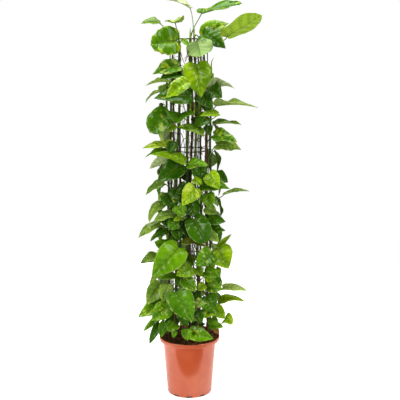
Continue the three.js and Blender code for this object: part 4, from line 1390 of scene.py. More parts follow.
@dataclass
class FrontBlade(Blade):
    """A blade drawn as it is seen from the front."""

    row: Row | None = None

    viewer: ClassVar[Array] = np.array([42.0, -3300.0, 1420.0])

    def along_sight(self, x: float, z: float, depth: float) -> Array:
        """Carries a place seen in the axis plane along the line of sight to its depth.

        Args:
            x: Seen x in the axis plane.
            z: Seen height there.
            depth: Its y.

        Returns:
            The place.
        """
        share = (depth - self.viewer[1]) / -self.viewer[1]
        seen = np.array([x, depth, z])
        return np.array([1, 0, 1]) * (self.viewer + (seen - self.viewer) * share) + np.array([0, depth, 0])

    def ends(self, moved: float) -> tuple[Array, Array]:
        """Moves the blade along the line of sight.

        Args:
            moved: How far, in depth.

        Returns:
            The stalk's end and the tip.
        """
        row = self.row
        base = self.along_sight(row.x, row.z, row.y + moved)
        return base, self.along_sight(row.tip_x, row.tip_z, row.tip_y + moved)


@dataclass
class RuledBlade(Blade):
    """A blade beside or behind the column, placed by the rule of its storey."""

    start: Array | None = None
    point: Array | None = None
    slide: Array | None = None

    def ends(self, moved: float) -> tuple[Array, Array]:
        """Gives the stalk's end and the tip after a move outwards or up the stem."""
        return self.start + self.slide * moved, self.point + self.slide * moved


@dataclass
class Foliage:
    """Every blade of the plant: the drawn ones in front, and those placed by rule behind."""

    width_share: float = 0.72
    least_swing: float = 0.3
    jitter: float = 14.0
    over_top: float = 40.0
    side_limit: float = 118.0
    seed: int = 20917
    looks_seed: int = 4211
    open_half_width: float = 74.0

    def nearest_vine(self, base: Array) -> int:
        """Finds the vine that a blade grows on.

        Args:
            base: The stalk's end.

        Returns:
            The number of the vine whose stem stands nearest.
        """
        best, least = 1, math.inf
        for number, stem in enumerate(STEMS, start=1):
            if stem.top < base[2] - 60:
                continue
            at = stem.at(min(base[2], stem.top))
            distance = math.hypot(at[0] - base[0], at[1] - base[1])
            if distance < least:
                best, least = number, distance
        return best

    def drawn(self, row: Row) -> FrontBlade:
        """Makes one blade that is seen from the front.

        Args:
            row: How it is seen.

        Returns:
            The blade, on its own vine or the nearest.
        """
        marks = (row.streaks, row.mottle, row.edge)
        blade = FrontBlade(0, row.width, row.turn, FRONT, row.tone, marks, 1, row.root, row.form)
        blade.bow, blade.roll, blade.torn, blade.lean = row.bow, row.roll, row.torn, row.lean
        blade.row = row
        blade.vine = row.vine or self.nearest_vine(blade.ends(0)[0])
        return blade

    def ruled_one(self, row: RuledRow, height: float, side: int, draw: Draw, looks: Draw) -> RuledBlade:
        """Makes one blade beside or behind the column.

        Args:
            row: The rule that it follows.
            height: Height of the stalk's end.
            side: 1 or -1, the way it swings.
            draw: The draw that places it.
            looks: The draw that colours it.

        Returns:
            The blade, not yet settled on its solid.
        """
        habit = row.habit
        swing = side * draw.between(self.least_swing, 1) * habit.swing
        reach = draw.between(*habit.reach)
        length = draw.between(*habit.length)
        droop = math.radians(draw.between(*habit.droop))
        turn = draw.between(*habit.turn)
        stem = STEMS[row.vine - 1]
        root = stem.at(min(height, stem.top))
        for degrees in (swing, -swing):
            angle = math.radians(row.aim + degrees)
            outward = np.array([math.cos(angle), math.sin(angle), 0])
            start = np.array([root[0], root[1], height]) + outward * reach
            point = start + outward * length * math.cos(droop) - UP * length * math.sin(droop)
            if abs(point[0]) <= self.side_limit:
                break
        face = unit(np.array([*row.facing, 0.0]))
        marks = (looks.between(0, 0.6), looks.between(-0.3, 0.5), looks.between(-0.5, 0.4))
        marks = tuple(max(0.0, mark) for mark in marks)
        width = length * self.width_share
        blade = RuledBlade(0, width, turn, face, looks.choice(RULED_TONES), marks, row.vine)
        blade.start, blade.point, blade.slide = start, point, UP if habit.climbs else outward
        return blade

    def seen_open(self, blade: RuledBlade) -> bool:
        """Looks a ruled blade over.

        Args:
            blade: The blade.

        Returns:
            Whether it would close a storey that is open to the light.
        """
        if min(abs(blade.start[0]), abs(blade.point[0])) > self.open_half_width:
            return False
        low, high = sorted((blade.start[2], blade.point[2]))
        return any(high > bottom and low < top for bottom, top in OPEN_STOREYS)

    def ruled(self) -> list[Blade]:
        """Makes the blades beside and behind the column.

        Returns:
            The blades, storey by storey up each vine.
        """
        draw = Draw(self.seed)
        looks = Draw(self.looks_seed)
        made = []
        for row in RULED_ROWS:
            side = 1 if row.vine % 2 else -1
            height = row.first
            top = min(STEMS[row.vine - 1].top + self.over_top, row.habit.up_to)
            while height < top:
                jitter = draw.between(-self.jitter, self.jitter)
                blade = self.ruled_one(row, height + jitter, side, draw, looks)
                side = -side
                if not self.seen_open(blade):
                    made.append(blade)
                height += row.pitch
        return made

    def settled(self, solids: dict[int, Array]) -> dict[int, list[Blade]]:
        """Stands every blade where its solid has it.

        Args:
            solids: Vertices of each vine's solid, by the vine's number.

        Returns:
            The blades of each vine, by its number.
        """
        grown = {number: [] for number in solids}
        standing = [*map(self.drawn, FRONT_ROWS), *self.ruled()]
        for index, blade in enumerate(standing):
            blade.index = index
            if blade.settle(solids[blade.vine]):
                blade.frame()
                grown[blade.vine].append(blade)
            else:
                log.info("blade %d of vine %d has no solid", index, blade.vine)
        for index, blade in enumerate(map(self.drawn, YOUNG_ROWS), start=len(standing)):
            blade.index = index
            blade.base, blade.tip = blade.ends(0)
            blade.frame()
            grown[blade.vine].append(blade)
        return grown


def revolved(profile: list[Pair], segments: int) -> tuple[Array, Faces]:
    """Turns a profile round the upright axis.

    Args:
        profile: Radius and height of each point, its first and last on the axis.
        segments: How many steps the full turn is divided into.

    Returns:
        Vertices, the two poles last, and faces that look outwards for a profile that runs
        from the bottom pole round the outside.
    """
    ring = np.array(profile[1:-1])
    angles = np.linspace(0, FULL_TURN, segments, endpoint=False)
    across, deep = np.outer(ring[:, 0], np.cos(angles)), np.outer(ring[:, 0], np.sin(angles))
    spots = np.stack([across, deep, np.repeat(ring[:, 1:2], segments, axis=1)], axis=2).reshape(-1, 3)
    poles = [[0, 0, profile[0][1]], [0, 0, profile[-1][1]]]
    return np.vstack([spots, poles]), ring_faces(len(ring), segments)


@dataclass
class NurseryPot:
    """Tapered pot with a tall rolled band that stands proud of its wall, and drain notches."""

    height: float = 232.0
    rim_radius: float = 120.0
    foot_radius: float = 88.0
    wall: float = 2.8
    floor: float = 4.0
    ledge_foot: float = 213.0
    ledge_out: float = 15.0
    ledge_rise: float = 3.5
    band_wall: float = 3.6
    notches: int = 10
    notch: tuple[float, float, float] = (6.0, 22.0, 6.2)
    segments: int = 160

    def outside(self, height: float) -> float:
        """Gives the wall's outer radius at a height."""
        taper = self.rim_radius - self.ledge_out - self.foot_radius
        return self.foot_radius + taper * height / self.ledge_foot

    def inside(self, height: float) -> float:
        """Gives the wall's inner radius at a height."""
        return self.outside(height) - self.wall

    def inner(self, gap: float) -> list[Pair]:
        """Draws the inside from the floor's edge up to the band.

        Args:
            gap: How much it is shrunk.

        Returns:
            Radius and height of each point.
        """
        ledge = self.ledge_foot + self.wall
        return [
            (self.inside(self.floor) - gap, self.floor + gap),
            (self.inside(120) - gap, 120),
            (self.inside(self.ledge_foot) - gap - 0.4, ledge + gap - 3),
            (self.inside(self.ledge_foot) - gap + 1.6, ledge + gap),
            (self.rim_radius - self.band_wall - gap - 2, ledge + self.ledge_rise + gap - 0.5),
            (self.rim_radius - self.band_wall - gap, ledge + self.ledge_rise + gap + 1.5),
        ]

    def profile(self) -> list[Pair]:
        """Draws the pot's section, from under its floor round the lip to the top of its floor.

        Returns:
            Radius and height of each point.
        """
        foot = self.foot_radius
        rim = self.rim_radius
        top = self.height
        under = self.outside(self.ledge_foot)
        points = [(0, 1.5), (foot - 16, 1.5), (foot - 14, 0.1), (foot - 3, 0), (foot - 1, 0.5)]
        points.append((self.outside(3), 3))
        points.extend((self.outside(height), height) for height in (30, 70, 110, 150, 190, 208))
        points.extend([(under + 0.1, 211.5), (under + 0.9, 213), (under + 3, 213.7)])
        points.extend([(rim - 4, top - 16.8), (rim - 1.6, top - 16.3), (rim - 0.5, top - 15.4)])
        points.extend([(rim, top - 13.6), (rim + 0.2, top - 8), (rim, top - 3.4)])
        points.extend([(rim - 0.4, top - 1.8), (rim - 1.2, top - 0.6)])
        points.extend([(rim - 2.2, top), (rim - 3.1, top - 0.4), (rim - self.band_wall, top - 1.6)])
        points.extend(reversed(self.inner(0)))
        points.append((0, self.floor))
        return points

    def build(self, finish: Material) -> Piece:
        """Turns the pot, cuts its notches and fits it over its solid.

        Args:
            finish: The moulded plastic.

        Returns:
            The finished piece.
        """
        bundle = Bundle()
        spots, faces = revolved(self.profile(), self.segments)
        bundle.add(spots, faces)
        pot = bundle.piece("pot_shell", [finish])
        cutter = self.cutter()
        modifier = pot.modifiers.new("notches", "BOOLEAN")
        modifier.operation = "DIFFERENCE"
        modifier.solver = "EXACT"
        modifier.object = cutter
        shape = bpy.data.meshes.new_from_object(pot.evaluated_get(bpy.context.evaluated_depsgraph_get()))
        pot.modifiers.clear()
        pot.data = shape
        bpy.data.objects.remove(cutter)
        return fitted(pot, Slot.POT, "pot")

    def cutter(self) -> Piece:
        """Makes the blocks that cut the drain notches.

        Returns:
            One object with all the blocks.
        """
        depth, width, height = self.notch
        bundle = Bundle()
        corners = np.array([(x, y, z) for x in (-0.5, 0.5) for y in (-0.5, 0.5) for z in (-1, 1)])
        faces = [(0, 1, 3, 2), (4, 6, 7, 5), (0, 4, 5, 1), (2, 3, 7, 6), (0, 2, 6, 4), (1, 5, 7, 3)]
        for i in range(self.notches):
            angle = (i + 0.5) * FULL_TURN / self.notches
            outward = np.array([math.cos(angle), math.sin(angle), 0])
            sideways = np.array([-math.sin(angle), math.cos(angle), 0])
            block = corners * np.array([depth, width, height])
            spots = outward * (self.foot_radius + block[:, :1])
            spots = spots + sideways * block[:, 1:2] + UP * block[:, 2:]
            bundle.add(spots, faces)
        return bundle.piece("notch_blocks", [])


@dataclass
class PottingSoil:
    """Potting mix: a rough bed with clods and fibres that lie half sunk in it."""

    top: float = 221.0
    bottom: float = 4.3
    gap: float = 0.3
    relief: float = 2.4
    margin: float = 5.0
    clods: int = 260
    clod_size: Pair = (1.2, 4.2)
    clod_rough: float = 0.16
    clod_rise: float = 0.2
    fibres: int = 90
    fibre_length: Pair = (6.0, 22.0)
    fibre_radius: Pair = (0.25, 0.6)
    fibre_rise: float = 0.6
    fibre_points: int = 7
    fibre_sides: int = 5
    rings: int = 46
    segments: int = 150
    seed: int = 77

    ball: ClassVar[list[Pair]] = [(0, -1), (0.7, -0.7), (1, 0), (0.7, 0.7), (0, 1)]
    ball_sides: ClassVar[int] = 8

    def surface(self, x: Array, y: Array) -> Array:
        """Gives the bed's height by a few crossed swells.

        Args:
            x: Places across.
            y: Places in depth.

        Returns:
            The height there.
        """
        swells = np.sin(x / 11 + 1.3) * np.cos(y / 9 - 0.4)
        swells = swells + 0.7 * np.sin((x + y) / 5.3) + 0.6 * np.cos((x - 2 * y) / 7.1)
        return self.top - 1.5 + self.relief * swells / 2

    def bed(self, pot: NurseryPot) -> tuple[Array, Faces]:
        """Makes the closed bed, from the pot's floor to its rough top.

        Args:
            pot: The pot that holds it.

        Returns:
            Vertices and faces.
        """
        edge = pot.rim_radius - pot.band_wall - self.gap
        profile = [(0, self.bottom), *pot.inner(self.gap)]
        profile.extend((edge * (1 - i / self.rings), self.top) for i in range(self.rings))
        profile.append((0, self.top))
        spots, faces = revolved(profile, self.segments)
        upper = spots[:, 2] > self.top - 0.5
        spots[upper, 2] = self.surface(spots[upper, 0], spots[upper, 1])
        return spots, faces

    def strewn(self, reach: float, rng: Generator) -> Array:
        """Draws a place on the bed, within reach of the axis and at height 0."""
        radius, angle = reach * math.sqrt(rng.uniform()), rng.uniform(0, FULL_TURN)
        return np.array([radius * math.cos(angle), radius * math.sin(angle), 0])

    def build(self, pot: NurseryPot, finish: Material) -> Piece:
        """Makes the bed with its clods and fibres.

        Args:
            pot: The pot that holds it.
            finish: The potting mix.

        Returns:
            The finished piece.
        """
        bundle = Bundle()
        bundle.add(*self.bed(pot))
        rng = np.random.default_rng(self.seed)
        reach = pot.rim_radius - pot.band_wall - self.margin
        ball, ball_faces = revolved(self.ball, self.ball_sides)
        for _ in range(self.clods):
            at = self.strewn(reach, rng)
            size = rng.uniform(*self.clod_size) * rng.uniform(0.6, 1.0)
            lump = ball * (1 + rng.normal(0, self.clod_rough, (len(ball), 1)))
            lump = lump * rng.uniform(0.6, 1.2, 3) * size
            at[2] = self.surface(at[0], at[1]) + size * self.clod_rise
            bundle.add(lump + at, ball_faces)
        for _ in range(self.fibres):
            start = self.strewn(reach, rng)
            heading = rng.uniform(0, math.pi)
            length = rng.uniform(*self.fibre_length)
            way = np.array([math.cos(heading), math.sin(heading), 0])
            shares = np.linspace(-0.5, 0.5, self.fibre_points)[:, None]
            line = start + way * shares * length + np.cross(UP, way) * (shares**2) * rng.uniform(-8, 8)
            line[:, 2] = self.surface(line[:, 0], line[:, 1]) + self.fibre_rise
            radii = np.full(self.fibre_points, rng.uniform(*self.fibre_radius))
            bundle.add(*tube(line, radii, self.fibre_sides))
        return fitted(bundle.piece("soil_bed", [finish]), Slot.SOIL, "soil")


@dataclass
class WireColumn:
    """Six uprights and three rings of coated wire, bound where they cross, with the stems tied on."""

    radius: float = 70.0
    uprights: int = 6
    wire: float = 1.7
    top: float = 1396.0
    bottom: float = 160.3
    rings: tuple[float, ...] = (557.0, 975.0, 1392.0)
    tie_slack: float = 1.4
    tie_wire: float = 0.85
    binding_wire: float = 0.6
    sides: int = 10
    thin_sides: int = 6
    turn_points: int = 40
    ring_points: int = 97

    def upright(self, number: int) -> Array:
        """Gives the foot of an upright on the column's circle."""
        angle = (number + 0.5) * FULL_TURN / self.uprights
        return np.array([self.radius * math.sin(angle), -self.radius * math.cos(angle), 0])

    def tie_line(self, stem: StemLine, height: float) -> Array:
        """Draws a tie.

        Args:
            stem: The stem that is tied.
            height: The ring's height.

        Returns:
            Places round the stem, from the ring and back to it.
        """
        at = stem.at(height)
        outward, sideways = level_ways(at)
        back = self.radius - math.hypot(at[0], at[1])
        reach = stem.radius + self.tie_slack + self.tie_wire
        bends = [(back, -reach * 0.75), (back / 2, -reach)]
        turns = np.linspace(-1.5, 1.5, 9)
        bends.extend((reach * math.cos(angle), reach * math.sin(angle)) for angle in turns)
        bends.extend([(back / 2, reach), (back, reach * 0.75)])
        heights = np.linspace(-0.9, 0.9, len(bends))
        points = [at + outward * a + sideways * b + UP * c for (a, b), c in zip(bends, heights)]
        return smooth_line(points, self.turn_points)

    def binding_line(self, at: Array) -> Array:
        """Draws three turns of thin wire round a crossing.

        Args:
            at: The crossing.

        Returns:
            Places on the turns.
        """
        outward, sideways = level_ways(at)
        turns = np.linspace(0, 3 * FULL_TURN, self.turn_points)[:, None]
        reach = self.wire + self.binding_wire
        slant = unit(UP + sideways)
        lengthwise = np.linspace(-1.4, 1.4, self.turn_points)[:, None] * np.cross(slant, outward)
        return at + outward * np.cos(turns) * reach + slant * np.sin(turns) * reach * 1.2 + lengthwise

    def build(self, finish: Material) -> Piece:
        """Makes the column.

        Args:
            finish: The coated wire.

        Returns:
            The finished piece.
        """
        bundle = Bundle()
        heights = np.linspace(self.bottom, self.top, 60)
        for i in range(self.uprights):
            foot = self.upright(i)
            line = foot + UP * heights[:, None]
            line[:, 0] += 0.5 * np.sin(heights / 90 + i)
            line[:, 1] += 0.5 * np.cos(heights / 70 + 2 * i)
            radii = np.full(len(line), self.wire)
            radii[-1] = self.wire * 0.6
            bundle.add(*tube(line, radii, self.sides))
            for height in self.rings:
                line = self.binding_line(foot + UP * height)
                bundle.add(*tube(line, np.full(len(line), self.binding_wire), self.thin_sides))
        for height in self.rings:
            turns = np.linspace(0, FULL_TURN, self.ring_points)
            level = np.full(len(turns), height)
            ring = np.stack([self.radius * np.sin(turns), -self.radius * np.cos(turns), level], axis=1)
            bundle.add(*tube(ring, np.full(len(turns), self.wire), self.sides))
        for stem in STEMS:
            line = self.tie_line(stem, self.rings[1])
            bundle.add(*tube(line, np.full(len(line), self.tie_wire), self.thin_sides))
        return fitted(bundle.piece("wire_column", [finish]), Slot.WIRE, "support_column")


@dataclass(frozen=True)
class Straw:
    """A dead sheath or a root that hangs on a stem: its vine, height, reach outwards, sideways and up."""

    vine: int
    height: float
    out: float
    sideways: float
    rise: float
    thickness: float = 1.0

    points: ClassVar[int] = 14
    taper: ClassVar[Pair] = (1.1, 0.35)

    def line(self, at: Array) -> Array:
        """Draws the straw's centre line.

        Args:
            at: Where it leaves the stem.

        Returns:
            Its places, from the stem to its end.
        """
        outward, sideways = level_ways(at)
        end = at + outward * self.out + sideways * self.sideways + UP * self.rise
        middle = (at + end) / 2 + outward * self.out * 0.4 + UP * 4
        return smooth_line([at, middle, end], self.points)


# Dry straws and roots that show in the photograph's gaps.
STRAWS = [
    Straw(3, 1338, 14, 26, -30, 1.8),
    Straw(3, 1346, 6, 34, -22, 1.6),
    Straw(3, 1372, 12, 30, -54, 1.9),
    Straw(3, 1360, 10, -20, -48, 1.5),
    Straw(3, 1310, 8, 22, 38, 1.4),
    Straw(4, 1352, 12, -22, -34, 1.8),
    Straw(4, 1376, 4, -36, -66, 2.0),
    Straw(4, 1368, 10, 22, -58, 1.6),
    Straw(4, 1330, 8, -30, 18, 1.4),
    Straw(4, 1312, 12, 18, 26, 1.5),
    Straw(5, 1332, 8, -26, -30, 1.6),
    Straw(5, 1300, 10, -30, 34, 1.4),
    Straw(2, 1352, 10, 26, -52, 1.6),
    Straw(2, 1368, 8, -18, -44, 1.4),
    Straw(5, 960, 10, 14, -40, 0.8),
    Straw(5, 1120, 8, -12, -46, 0.9),
    Straw(2, 1330, 10, -24, -16, 0.8),
    Straw(2, 1296, 12, -28, 6, 0.7),
    Straw(6, 820, 12, 10, -34, 0.8),
    Straw(1, 700, 9, -14, -30, 0.8),
    Straw(3, 620, 7, 12, -36, 0.8),
]


@dataclass
class Vine:
    """One climbing vine: its stem with nodes and roots, and the blades on their stalks."""

    number: int
    stem: StemLine
    blades: list[Blade]
    bottom: float = 160.3
    ring_step: float = 6.0
    node_pitch: float = 52.0
    sides: int = 12
    stub_every: float = 17.0
    stub_length: Pair = (4.0, 24.0)
    hanging_every: float = 46.0
    hanging_drop: Pair = (60.0, 190.0)
    shoot_every: float = 34.0
    shoots_to: float = 780.0
    shoot_climb: Pair = (50.0, 110.0)
    strand_sides: int = 6
    woody: tuple[int, ...] = (5, 8)
    green: Colour = (80, 110, 34)
    wood: Colour = (104, 66, 36)
    bark: Colour = (136, 84, 48)

    first_seed: ClassVar[int] = 500

    def __post_init__(self) -> None:
        """Starts the vine's own draw and its two empty bundles."""
        self.rng = np.random.default_rng(self.first_seed + self.number)
        self.wooden = Bundle()
        self.leafy = Bundle()

    def nodes(self) -> Array:
        """Finds the stem's nodes.

        Returns:
            Heights where stalks leave, and regular ones between.
        """
        regular = np.arange(self.bottom + 70, self.stem.top, self.node_pitch)
        regular = regular + self.rng.uniform(-9, 9, len(regular))
        return np.concatenate([regular, [blade.stalk_height() - 2 for blade in self.blades]])

    def build(self, finishes: dict[str, Material]) -> list[Piece]:
        """Makes the stem and the foliage as two pieces.

        Args:
            finishes: The finishes by their pieces' plain names.

        Returns:
            The stem and the foliage.
        """
        solid = f"vine_{self.number:02d}"
        self.add_stem()
        self.add_strands()
        piece = self.wooden.piece(f"{solid}_stem", [finishes["stem"], finishes["husk"]])
        for blade in self.blades:
            blade.blade_into(self.leafy)
            blade.stalk_into(self.leafy)
        self.add_bud()
        names = ("blade", "underside", "stalk")
        foliage = self.leafy.piece(f"{solid}_leaves", [finishes[name] for name in names])
        return [fitted(piece, Slot.FOLIAGE, solid), fitted(foliage, Slot.FOLIAGE, solid)]

    def add_stem(self) -> None:
        """Adds the stem, thickened at its nodes, ridged, and slimmer towards its tip."""
        heights = np.arange(self.bottom, self.stem.top, self.ring_step)
        line = np.array([self.stem.at(height) for height in heights])
        near = np.min(np.abs(heights[:, None] - self.nodes()[None, :]), axis=1)
        swelling = np.exp(-((near / 5) ** 2))
        to_tip = np.clip((self.stem.top - heights) / 60, 0, 1)
        slim = 0.6 + 0.4 * to_tip
        around = np.linspace(0, FULL_TURN, self.sides, endpoint=False)
        ridges = 1 + 0.05 * np.sin(3 * around[None, :] + heights[:, None] / 35)
        radii = self.stem.radius * (slim * (0.94 + 0.2 * swelling))[:, None] * ridges
        spots, faces = tube(line, radii, self.sides)
        woody = 0.85 if self.number in self.woody else 0.15
        low = np.clip((700 - heights) / 260, 0, 1) * 0.55
        cork = np.clip(woody * np.clip((1240 - heights) / 120, 0.15, 1) + low, 0, 1)
        marks = np.stack([cork, swelling, np.zeros(len(heights))], axis=1)
        share = cork[:, None] * 0.7
        bark = linear(self.bark if self.number in self.woody else self.wood)
        hue = linear(self.green) * (1 - share) + bark * share
        marks, hue = (
            np.vstack([np.repeat(each, self.sides, axis=0), each[:1], each[-1:]]) for each in (marks, hue)
        )
        place = tube_place(line, self.sides, self.number * 0.37)
        place[:, 1] *= len(heights) * self.ring_step / 100
        self.wooden.add(spots, faces, 0, place, hue, marks)

    def add_strands(self) -> None:
        """Adds the air roots, the shoots and the straws of this vine."""
        rng = self.rng
        for height in np.arange(self.bottom + 80, self.stem.top - 40, self.stub_every):
            self.add_stub(height + rng.uniform(-8, 8))
        for height in np.arange(self.bottom + 150, self.stem.top - 50, self.hanging_every):
            self.add_hanging(height + rng.uniform(-20, 20))
        for height in np.arange(self.bottom + 120, self.shoots_to, self.shoot_every):
            self.add_shoot(height + rng.uniform(-14, 14))
        for straw in STRAWS:
            if straw.vine == self.number:
                line = straw.line(self.stem.at(straw.height))
                self.add_strand(line, straw.thickness * np.linspace(*straw.taper, len(line)))

    def add_strand(self, line: Array, radii: Array, hue: Array | None = None) -> None:
        """Adds one thin strand to the stem's piece.

        Args:
            line: Centres of its rings.
            radii: Radius of each ring.
            hue: Linear colour of a green strand; a dry one has none.
        """
        slot = 1 if hue is None else 0
        place = tube_place(line, self.strand_sides, self.rng.uniform())
        self.wooden.add(*tube(line, radii, self.strand_sides), slot, place, hue)

    def leaving(self, height: float) -> tuple[Array, Array, Array]:
        """Gives the stem's centre at a height, and the level ways outwards and round there."""
        at = self.stem.at(height)
        return at, *level_ways(at)

    def add_stub(self, height: float) -> None:
        """Adds a stubby air root that leans in to the column.

        Args:
            height: Where it leaves the stem.
        """
        rng = self.rng
        at, outward, sideways = self.leaving(height)
        way = sideways * rng.uniform(-1.2, 1.2) - outward * rng.uniform(0.2, 1)
        way = unit(way - UP * rng.uniform(0, 0.8))
        length = self.stem.radius + rng.uniform(*self.stub_length)
        shares = np.linspace(0, 1, 6)[:, None]
        line = at + way * shares * length - UP * shares**2 * rng.uniform(0, 12)
        self.add_strand(line, np.linspace(0.9, 0.35, 6))

    def add_hanging(self, height: float) -> None:
        """Adds a thin air root that leaves the stem inwards and hangs down beside it.

        Args:
            height: Where it leaves the stem.
        """
        rng = self.rng
        at, outward, sideways = self.leaving(height)
        aside = -sideways * rng.uniform(-30, 30) - outward * rng.uniform(5, 22)
        drop = min(rng.uniform(*self.hanging_drop), at[2] - PottingSoil.top)
        sway = -sideways * rng.uniform(-9, 9)
        bends = [at, at + aside * 0.6 - UP * drop * 0.04, at + aside - UP * drop * 0.3]
        bends.extend([at + aside + sway - UP * drop * 0.65, at + aside * 0.9 - UP * drop])
        self.add_strand(smooth_line(bends, 16), np.linspace(1.2, 0.5, 16) * rng.uniform(0.7, 1.2))

    def add_shoot(self, height: float) -> None:
        """Adds a bare green shoot that leaves the stem inwards and climbs beside it.

        Args:
            height: Where it leaves the stem.
        """
        rng = self.rng
        at, outward, sideways = self.leaving(height)
        aside = -sideways * rng.uniform(-26, 26) - outward * rng.uniform(4, 20)
        climb = rng.uniform(*self.shoot_climb)
        bends = [at, at + aside * 0.5 + UP * climb * 0.12, at + aside + UP * climb * 0.5]
        bends.append(at + aside * rng.uniform(0.6, 1.3) + UP * climb)
        radii = np.linspace(1.9, 0.9, 14) * rng.uniform(0.8, 1.15)
        self.add_strand(smooth_line(bends, 14), radii, linear(Tone.FRESH.value) * rng.uniform(0.5, 1.0))

    def add_bud(self) -> None:
        """Adds the rolled young blade that the stem ends in."""
        at, outward, sideways = self.leaving(self.stem.top - 10)
        end = at + UP * 44 + outward * 10 + sideways * 6 * math.sin(self.number)
        line = smooth_line([at, at + UP * 18, at + UP * 32 + outward * 3, end], 16)
        share = np.linspace(0, 1, 16)
        radii = self.stem.radius * 0.58 * (1 - share**2.2) + 0.15
        place = tube_place(line, 8, self.number * 0.21)
        place[:, 1] = 0.6
        hue = linear(Tone.LIME.value) * 0.7 + linear(Tone.FRESH.value) * 0.3
        self.leafy.add(*tube(line, radii, 8), 2, place, hue)


def fitted(piece: Piece, slot: Slot, *solids: str) -> Piece:
    """Lets a piece ride with the plant and stand for its solids.

    Args:
        piece: The new piece.
        slot: The record's slot for the piece; not used.
        solids: Nodes that it stands for.

    Returns:
        The piece.
    """
    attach(piece, "root")
    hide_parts(*solids)
    return piece


@dataclass
class Softbox:
    """A soft studio light: where it stands, what it looks at, its size and its power."""

    name: str
    at: tuple[float, float, float]
    towards: tuple[float, float, float]
    width: float
    height: float
    watts: float
    in_gloss: bool = True

    def build(self) -> Piece:
        """Makes the light, hidden from the camera itself.

        Returns:
            The lamp.
        """
        light = bpy.data.lights.new(self.name, "AREA")
        light.shape = "RECTANGLE"
        light.size = self.width
        light.size_y = self.height
        light.energy = self.watts
        lamp = bpy.data.objects.new(self.name, light)
        aim = [a - b for a, b in zip(self.towards, self.at)]
        turn = math.atan2(aim[1], aim[0]) - math.pi / 2
        lamp.rotation_euler = (math.pi / 2 + math.atan2(aim[2], math.hypot(aim[0], aim[1])), 0, turn)
        lamp.location = self.at
        lamp.visible_camera = False
        lamp.visible_glossy = self.in_gloss
        bpy.context.scene.collection.objects.link(lamp)
        return lamp


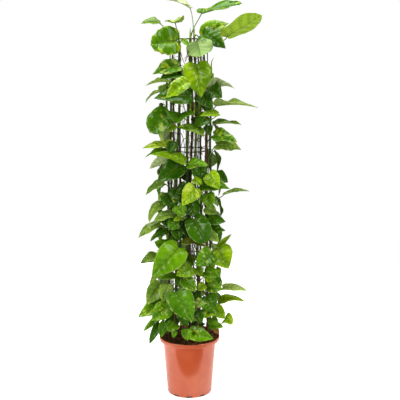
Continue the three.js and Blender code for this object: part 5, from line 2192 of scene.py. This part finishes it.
@dataclass
class Studio:
    """White studio: a pale floor, soft light from both sides and above, and the camera."""

    floor_radius: float = 2.2
    ambient: float = 0.25
    in_gloss: float = 0.1
    gamma: float = 0.82
    lens: float = 78.2
    sensor: float = 36.0
    camera_at: tuple[float, float, float] = (0.042, -3.3, 1.42)
    camera_tilt: float = 11.0
    flag_from: float = -0.235
    flag_to: float = -1.3
    flag_half: float = 0.8
    lights: tuple[Softbox, ...] = (
        Softbox("softbox_left", (-2.3, -1.9, 1.7), (0, 0, 0.8), 1.2, 2.2, 46),
        Softbox("softbox_right", (2.3, -1.9, 1.7), (0, 0, 0.8), 1.2, 2.2, 34),
        Softbox("softbox_above", (0.0, -0.3, 3.6), (0, 0, 0), 2.4, 2.4, 90),
        Softbox("softbox_behind", (0.0, 2.6, 2.3), (0, 0, 0.9), 2.0, 1.6, 26, in_gloss=False),
    )

    def build(self) -> None:
        """Lays the floor, hangs the lights and places the camera."""
        self.floor()
        self.flag()
        self.world()
        for light in self.lights:
            light.build()
        self.camera()
        view = bpy.context.scene.view_settings
        view.view_transform = "Standard"
        view.gamma = self.gamma

    def floor(self) -> None:
        """Lays the round pale floor."""
        bundle = Bundle()
        angles = np.linspace(0, FULL_TURN, 128, endpoint=False)
        rim = np.stack([np.cos(angles), np.sin(angles), np.zeros(128)], axis=1) * self.floor_radius / METRES
        bundle.add(rim, [tuple(range(128))])
        bundle.piece("studio_floor", [FloorFinish().material()], smooth=False)

    def flag(self) -> None:
        """Lays the dark studio flag in front of the pot, which shows only in its gloss."""
        x, near, far = self.flag_half / METRES, self.flag_from / METRES, self.flag_to / METRES
        bundle = Bundle()
        bundle.add(np.array([(-x, far, 3), (x, far, 3), (x, near, 3), (-x, near, 3)]), [(0, 1, 2, 3)])
        bench = Bench("studio_flag")
        cloud = bench.grain(4.0)
        black = bench.mix(cloud, (0.02, 0.02, 0.02, 1), (0.04, 0.04, 0.04, 1))
        cloth = bench.finish(Base_Color=black, Roughness=1.0)
        card = bundle.piece("studio_flag", [cloth], smooth=False)
        for label in ("visible_camera", "visible_diffuse", "visible_shadow", "visible_transmission"):
            setattr(card, label, False)

    def world(self) -> None:
        """Makes the room white to the eye, and its light soft and even."""
        world = bpy.data.worlds.new("white_room")
        bpy.context.scene.world = world
        world.use_nodes = True
        tree = world.node_tree
        tree.nodes.clear()
        path = tree.nodes.new("ShaderNodeLightPath")
        light = self.glow(tree, self.ambient)
        for ray, strength in (("Is Glossy Ray", self.in_gloss), ("Is Camera Ray", 1.0)):
            mixed = tree.nodes.new("ShaderNodeMixShader")
            tree.links.new(path.outputs[ray], mixed.inputs[0])
            tree.links.new(light, mixed.inputs[1])
            tree.links.new(self.glow(tree, strength), mixed.inputs[2])
            light = mixed.outputs[0]
        output = tree.nodes.new("ShaderNodeOutputWorld")
        tree.links.new(light, output.inputs[0])

    def glow(self, tree: bpy.types.NodeTree, strength: float) -> Socket:
        """Adds an even white light to the world.

        Args:
            tree: The world's nodes.
            strength: How bright.

        Returns:
            Its output.
        """
        background = tree.nodes.new("ShaderNodeBackground")
        background.inputs[0].default_value = (1, 1, 1, 1)
        background.inputs[1].default_value = strength
        return background.outputs[0]

    def camera(self) -> None:
        """Places the camera at the photograph's viewing angle."""
        data = bpy.data.cameras.new("camera")
        data.lens = self.lens
        data.sensor_width = self.sensor
        camera = bpy.data.objects.new("camera", data)
        camera.location = self.camera_at
        camera.rotation_euler = (math.radians(90 - self.camera_tilt), 0, 0)
        bpy.context.scene.collection.objects.link(camera)
        bpy.context.scene.camera = camera


def solid_points(frame: dict) -> dict[int, Array]:
    """Reads the vertices of each vine's solid.

    Args:
        frame: The loaded frame.

    Returns:
        Vertices in millimetres, by the vine's number.
    """
    found = {}
    for number in range(1, len(STEMS) + 1):
        mesh = frame["nodes"][f"vine_{number:02d}"].data
        flat = np.empty(len(mesh.vertices) * 3, dtype=np.float32)
        mesh.vertices.foreach_get("co", flat)
        found[number] = flat.reshape(-1, 3) / METRES
    return found


def main() -> None:
    """Builds the sub-assemblies in order and reports each of them."""
    logging.basicConfig(level=logging.INFO, format="%(message)s")
    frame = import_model()
    pot = NurseryPot()
    log.info("pot: %s", pot.build(PlasticFinish().material()).name)
    log.info("soil: %s", PottingSoil().build(pot, SoilFinish().material()).name)
    log.info("column: %s", WireColumn().build(WireFinish().material()).name)
    finishes = {
        "blade": BladeFinish().material(),
        "underside": UndersideFinish().material(),
        "stalk": StalkFinish().material(),
        "stem": StemFinish().material(),
        "husk": HuskFinish().material(),
    }
    grown = Foliage().settled(solid_points(frame))
    for number, stem in enumerate(STEMS, start=1):
        pieces = Vine(number, stem, grown[number]).build(finishes)
        faces = sum(len(piece.data.polygons) for piece in pieces)
        log.info("vine %d: %d blades, %d faces", number, len(grown[number]), faces)
    Studio().build()
    log.info("studio: floor, lights and camera")


if __name__ == "__main__":
    main()
